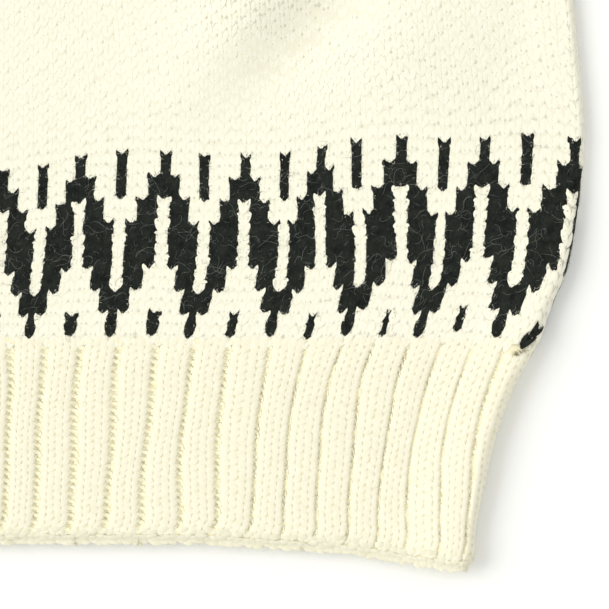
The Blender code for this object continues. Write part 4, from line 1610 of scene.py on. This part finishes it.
belongs(front, "front_body", "cream_wool")
belongs(back, "back_body", "cream_wool")
belongs(hem_front, "hem_rib_front", "rib_wool")
belongs(hem_back, "hem_rib_back", "rib_wool")
for piece in pieces_front:
    belongs(piece, "front_body", slot_of(piece, "cream_wool"))
for piece in pieces_rib_front:
    belongs(piece, "hem_rib_front", "rib_wool")
for piece in pieces_rib_back:
    belongs(piece, "hem_rib_back", "rib_wool")

for (sleeve, more), (cuff, cuff_more), side in zip(sleeves, cuffs, ("left", "right")):
    for piece in [sleeve, *more]:
        belongs(piece, "sleeve_" + side, "cream_wool")
    for piece in [cuff, *cuff_more]:
        belongs(piece, "cuff_" + side, "rib_wool")
for piece in [neckband, *pieces_neck]:
    belongs(piece, "neckband", "rib_wool")


def panel_area(drop):
    """Flat area of a body panel: side fold to side fold, less its neckline."""
    y = np.linspace(78.7, SHOULDER[1], 600)
    wide = half_width(y) + turn_of(y) * (math.pi / 2 - 1)
    total = 2 * float(np.sum((wide[1:] + wide[:-1]) / 2 * np.diff(y)))
    total += (SHOULDER[0] + NECK_HALF) * (NECK_Y - SHOULDER[1])
    return (total - math.pi / 2 * NECK_HALF * drop) * 1e-6


def strip(widths, steps):
    """Width, length and area of a strip from its widths along its length, mm."""
    widths, steps = np.asarray(widths, float), np.asarray(steps, float)
    area = float(np.sum((widths[1:] + widths[:-1]) / 2 * steps))
    return (float(widths.max()) * MM, float(steps.sum()) * MM), area * 1e-6


def declare_sheets():
    panel = (0.533, 0.5613)
    panel_area(FRONT_DROP)
    panel_area(BACK_DROP)
    rib_flat, rib_area = (0.4912, 0.0892), 0.5 * (0.4912 + 0.4472) * 0.0817
    t = np.linspace(0, 1, 200)
    ends = sleeve_ends(t)
    middle = (ends[0] + ends[1]) / 2
    ahead = np.diff(middle, axis=0)
    around = 4 * tube_half(ends, BODY_TURN)
    sleeve_flat, _ = strip(around, np.linalg.norm(ahead, axis=1))
    # Towards the shoulder the cross lines slant, so the cloth between two is narrower.
    across = unit((ends[1] - ends[0])[:-1])
    _, sleeve_area = strip(around, np.abs(across[:, 0] * ahead[:, 1] - across[:, 1] * ahead[:, 0]))
    cuff_flat, cuff_area = strip(4 * tube_half(cuff_ends(t), CUFF_TURN), np.full(199, CUFF_LONG / 199))
    for (sleeve, more), (cuff, cuff_more) in zip(sleeves, cuffs):
        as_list(more)
        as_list(cuff_more)
    angle = np.linspace(-math.pi, math.pi, 800)
    lines = [neck_line(angle, np.full_like(angle, v)) for v in np.linspace(0, 1, 20)]
    around = [float(np.linalg.norm(np.diff(p, axis=0), axis=1).sum()) for p in lines]
    steps = [float(np.linalg.norm(q - p, axis=1).mean()) for p, q in zip(lines, lines[1:])]
    neck_flat, neck_area = strip(around, steps)
    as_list(pieces_neck)
    print("flat sizes", panel, rib_flat, sleeve_flat, cuff_flat, neck_flat)
    print("flat areas", panel_area(FRONT_DROP), panel_area(BACK_DROP), rib_area, sleeve_area, cuff_area, neck_area)


def count_triangles():
    total = 0
    for obj in bpy.data.objects:
        if obj.type == "MESH" and not obj.hide_render:
            obj.data.calc_loop_triangles()
            count = len(obj.data.loop_triangles)
            total += count
            print("triangles", obj.name, count)
    print("triangles in all", total)


count_triangles()


# ---- floor and light ------------------------------------------------------
def studio():
    floor_wool = bpy.data.materials.new("floor_white")
    floor_wool.use_nodes = True
    shader = floor_wool.node_tree.nodes["Principled BSDF"]
    shader.inputs["Base Color"].default_value = (0.93, 0.935, 0.915, 1.0)
    shader.inputs["Roughness"].default_value = 0.9
    shader.inputs["Specular IOR Level"].default_value = 0.1
    mesh = bpy.data.meshes.new("floor")
    s = 4.0
    mesh.from_pydata([(-s, -s, -0.0004), (s, -s, -0.0004), (s, s, -0.0004), (-s, s, -0.0004)], [], [(0, 1, 2, 3)])
    mesh.materials.append(floor_wool)
    floor = bpy.data.objects.new("floor", mesh)
    bpy.context.scene.collection.objects.link(floor)
    world = bpy.data.worlds.new("studio")
    world.use_nodes = True
    background = world.node_tree.nodes["Background"]
    background.inputs["Color"].default_value = (1.0, 1.0, 0.985, 1.0)
    background.inputs["Strength"].default_value = 0.81
    bpy.context.scene.world = world
    sun = bpy.data.lights.new("key", "SUN")
    sun.energy = 1.85
    sun.angle = math.radians(42)
    sun.color = (1.0, 0.992, 0.965)
    obj = bpy.data.objects.new("key", sun)
    # Light comes from the upper left of the picture.
    obj.rotation_euler = (math.radians(-8), math.radians(-53), 0.0)
    bpy.context.scene.collection.objects.link(obj)
    view = bpy.context.scene.view_settings
    view.view_transform = "Standard"
    view.look = "None"
    view.exposure = 0.0
    view.gamma = 1.0


studio()
declare_sheets()
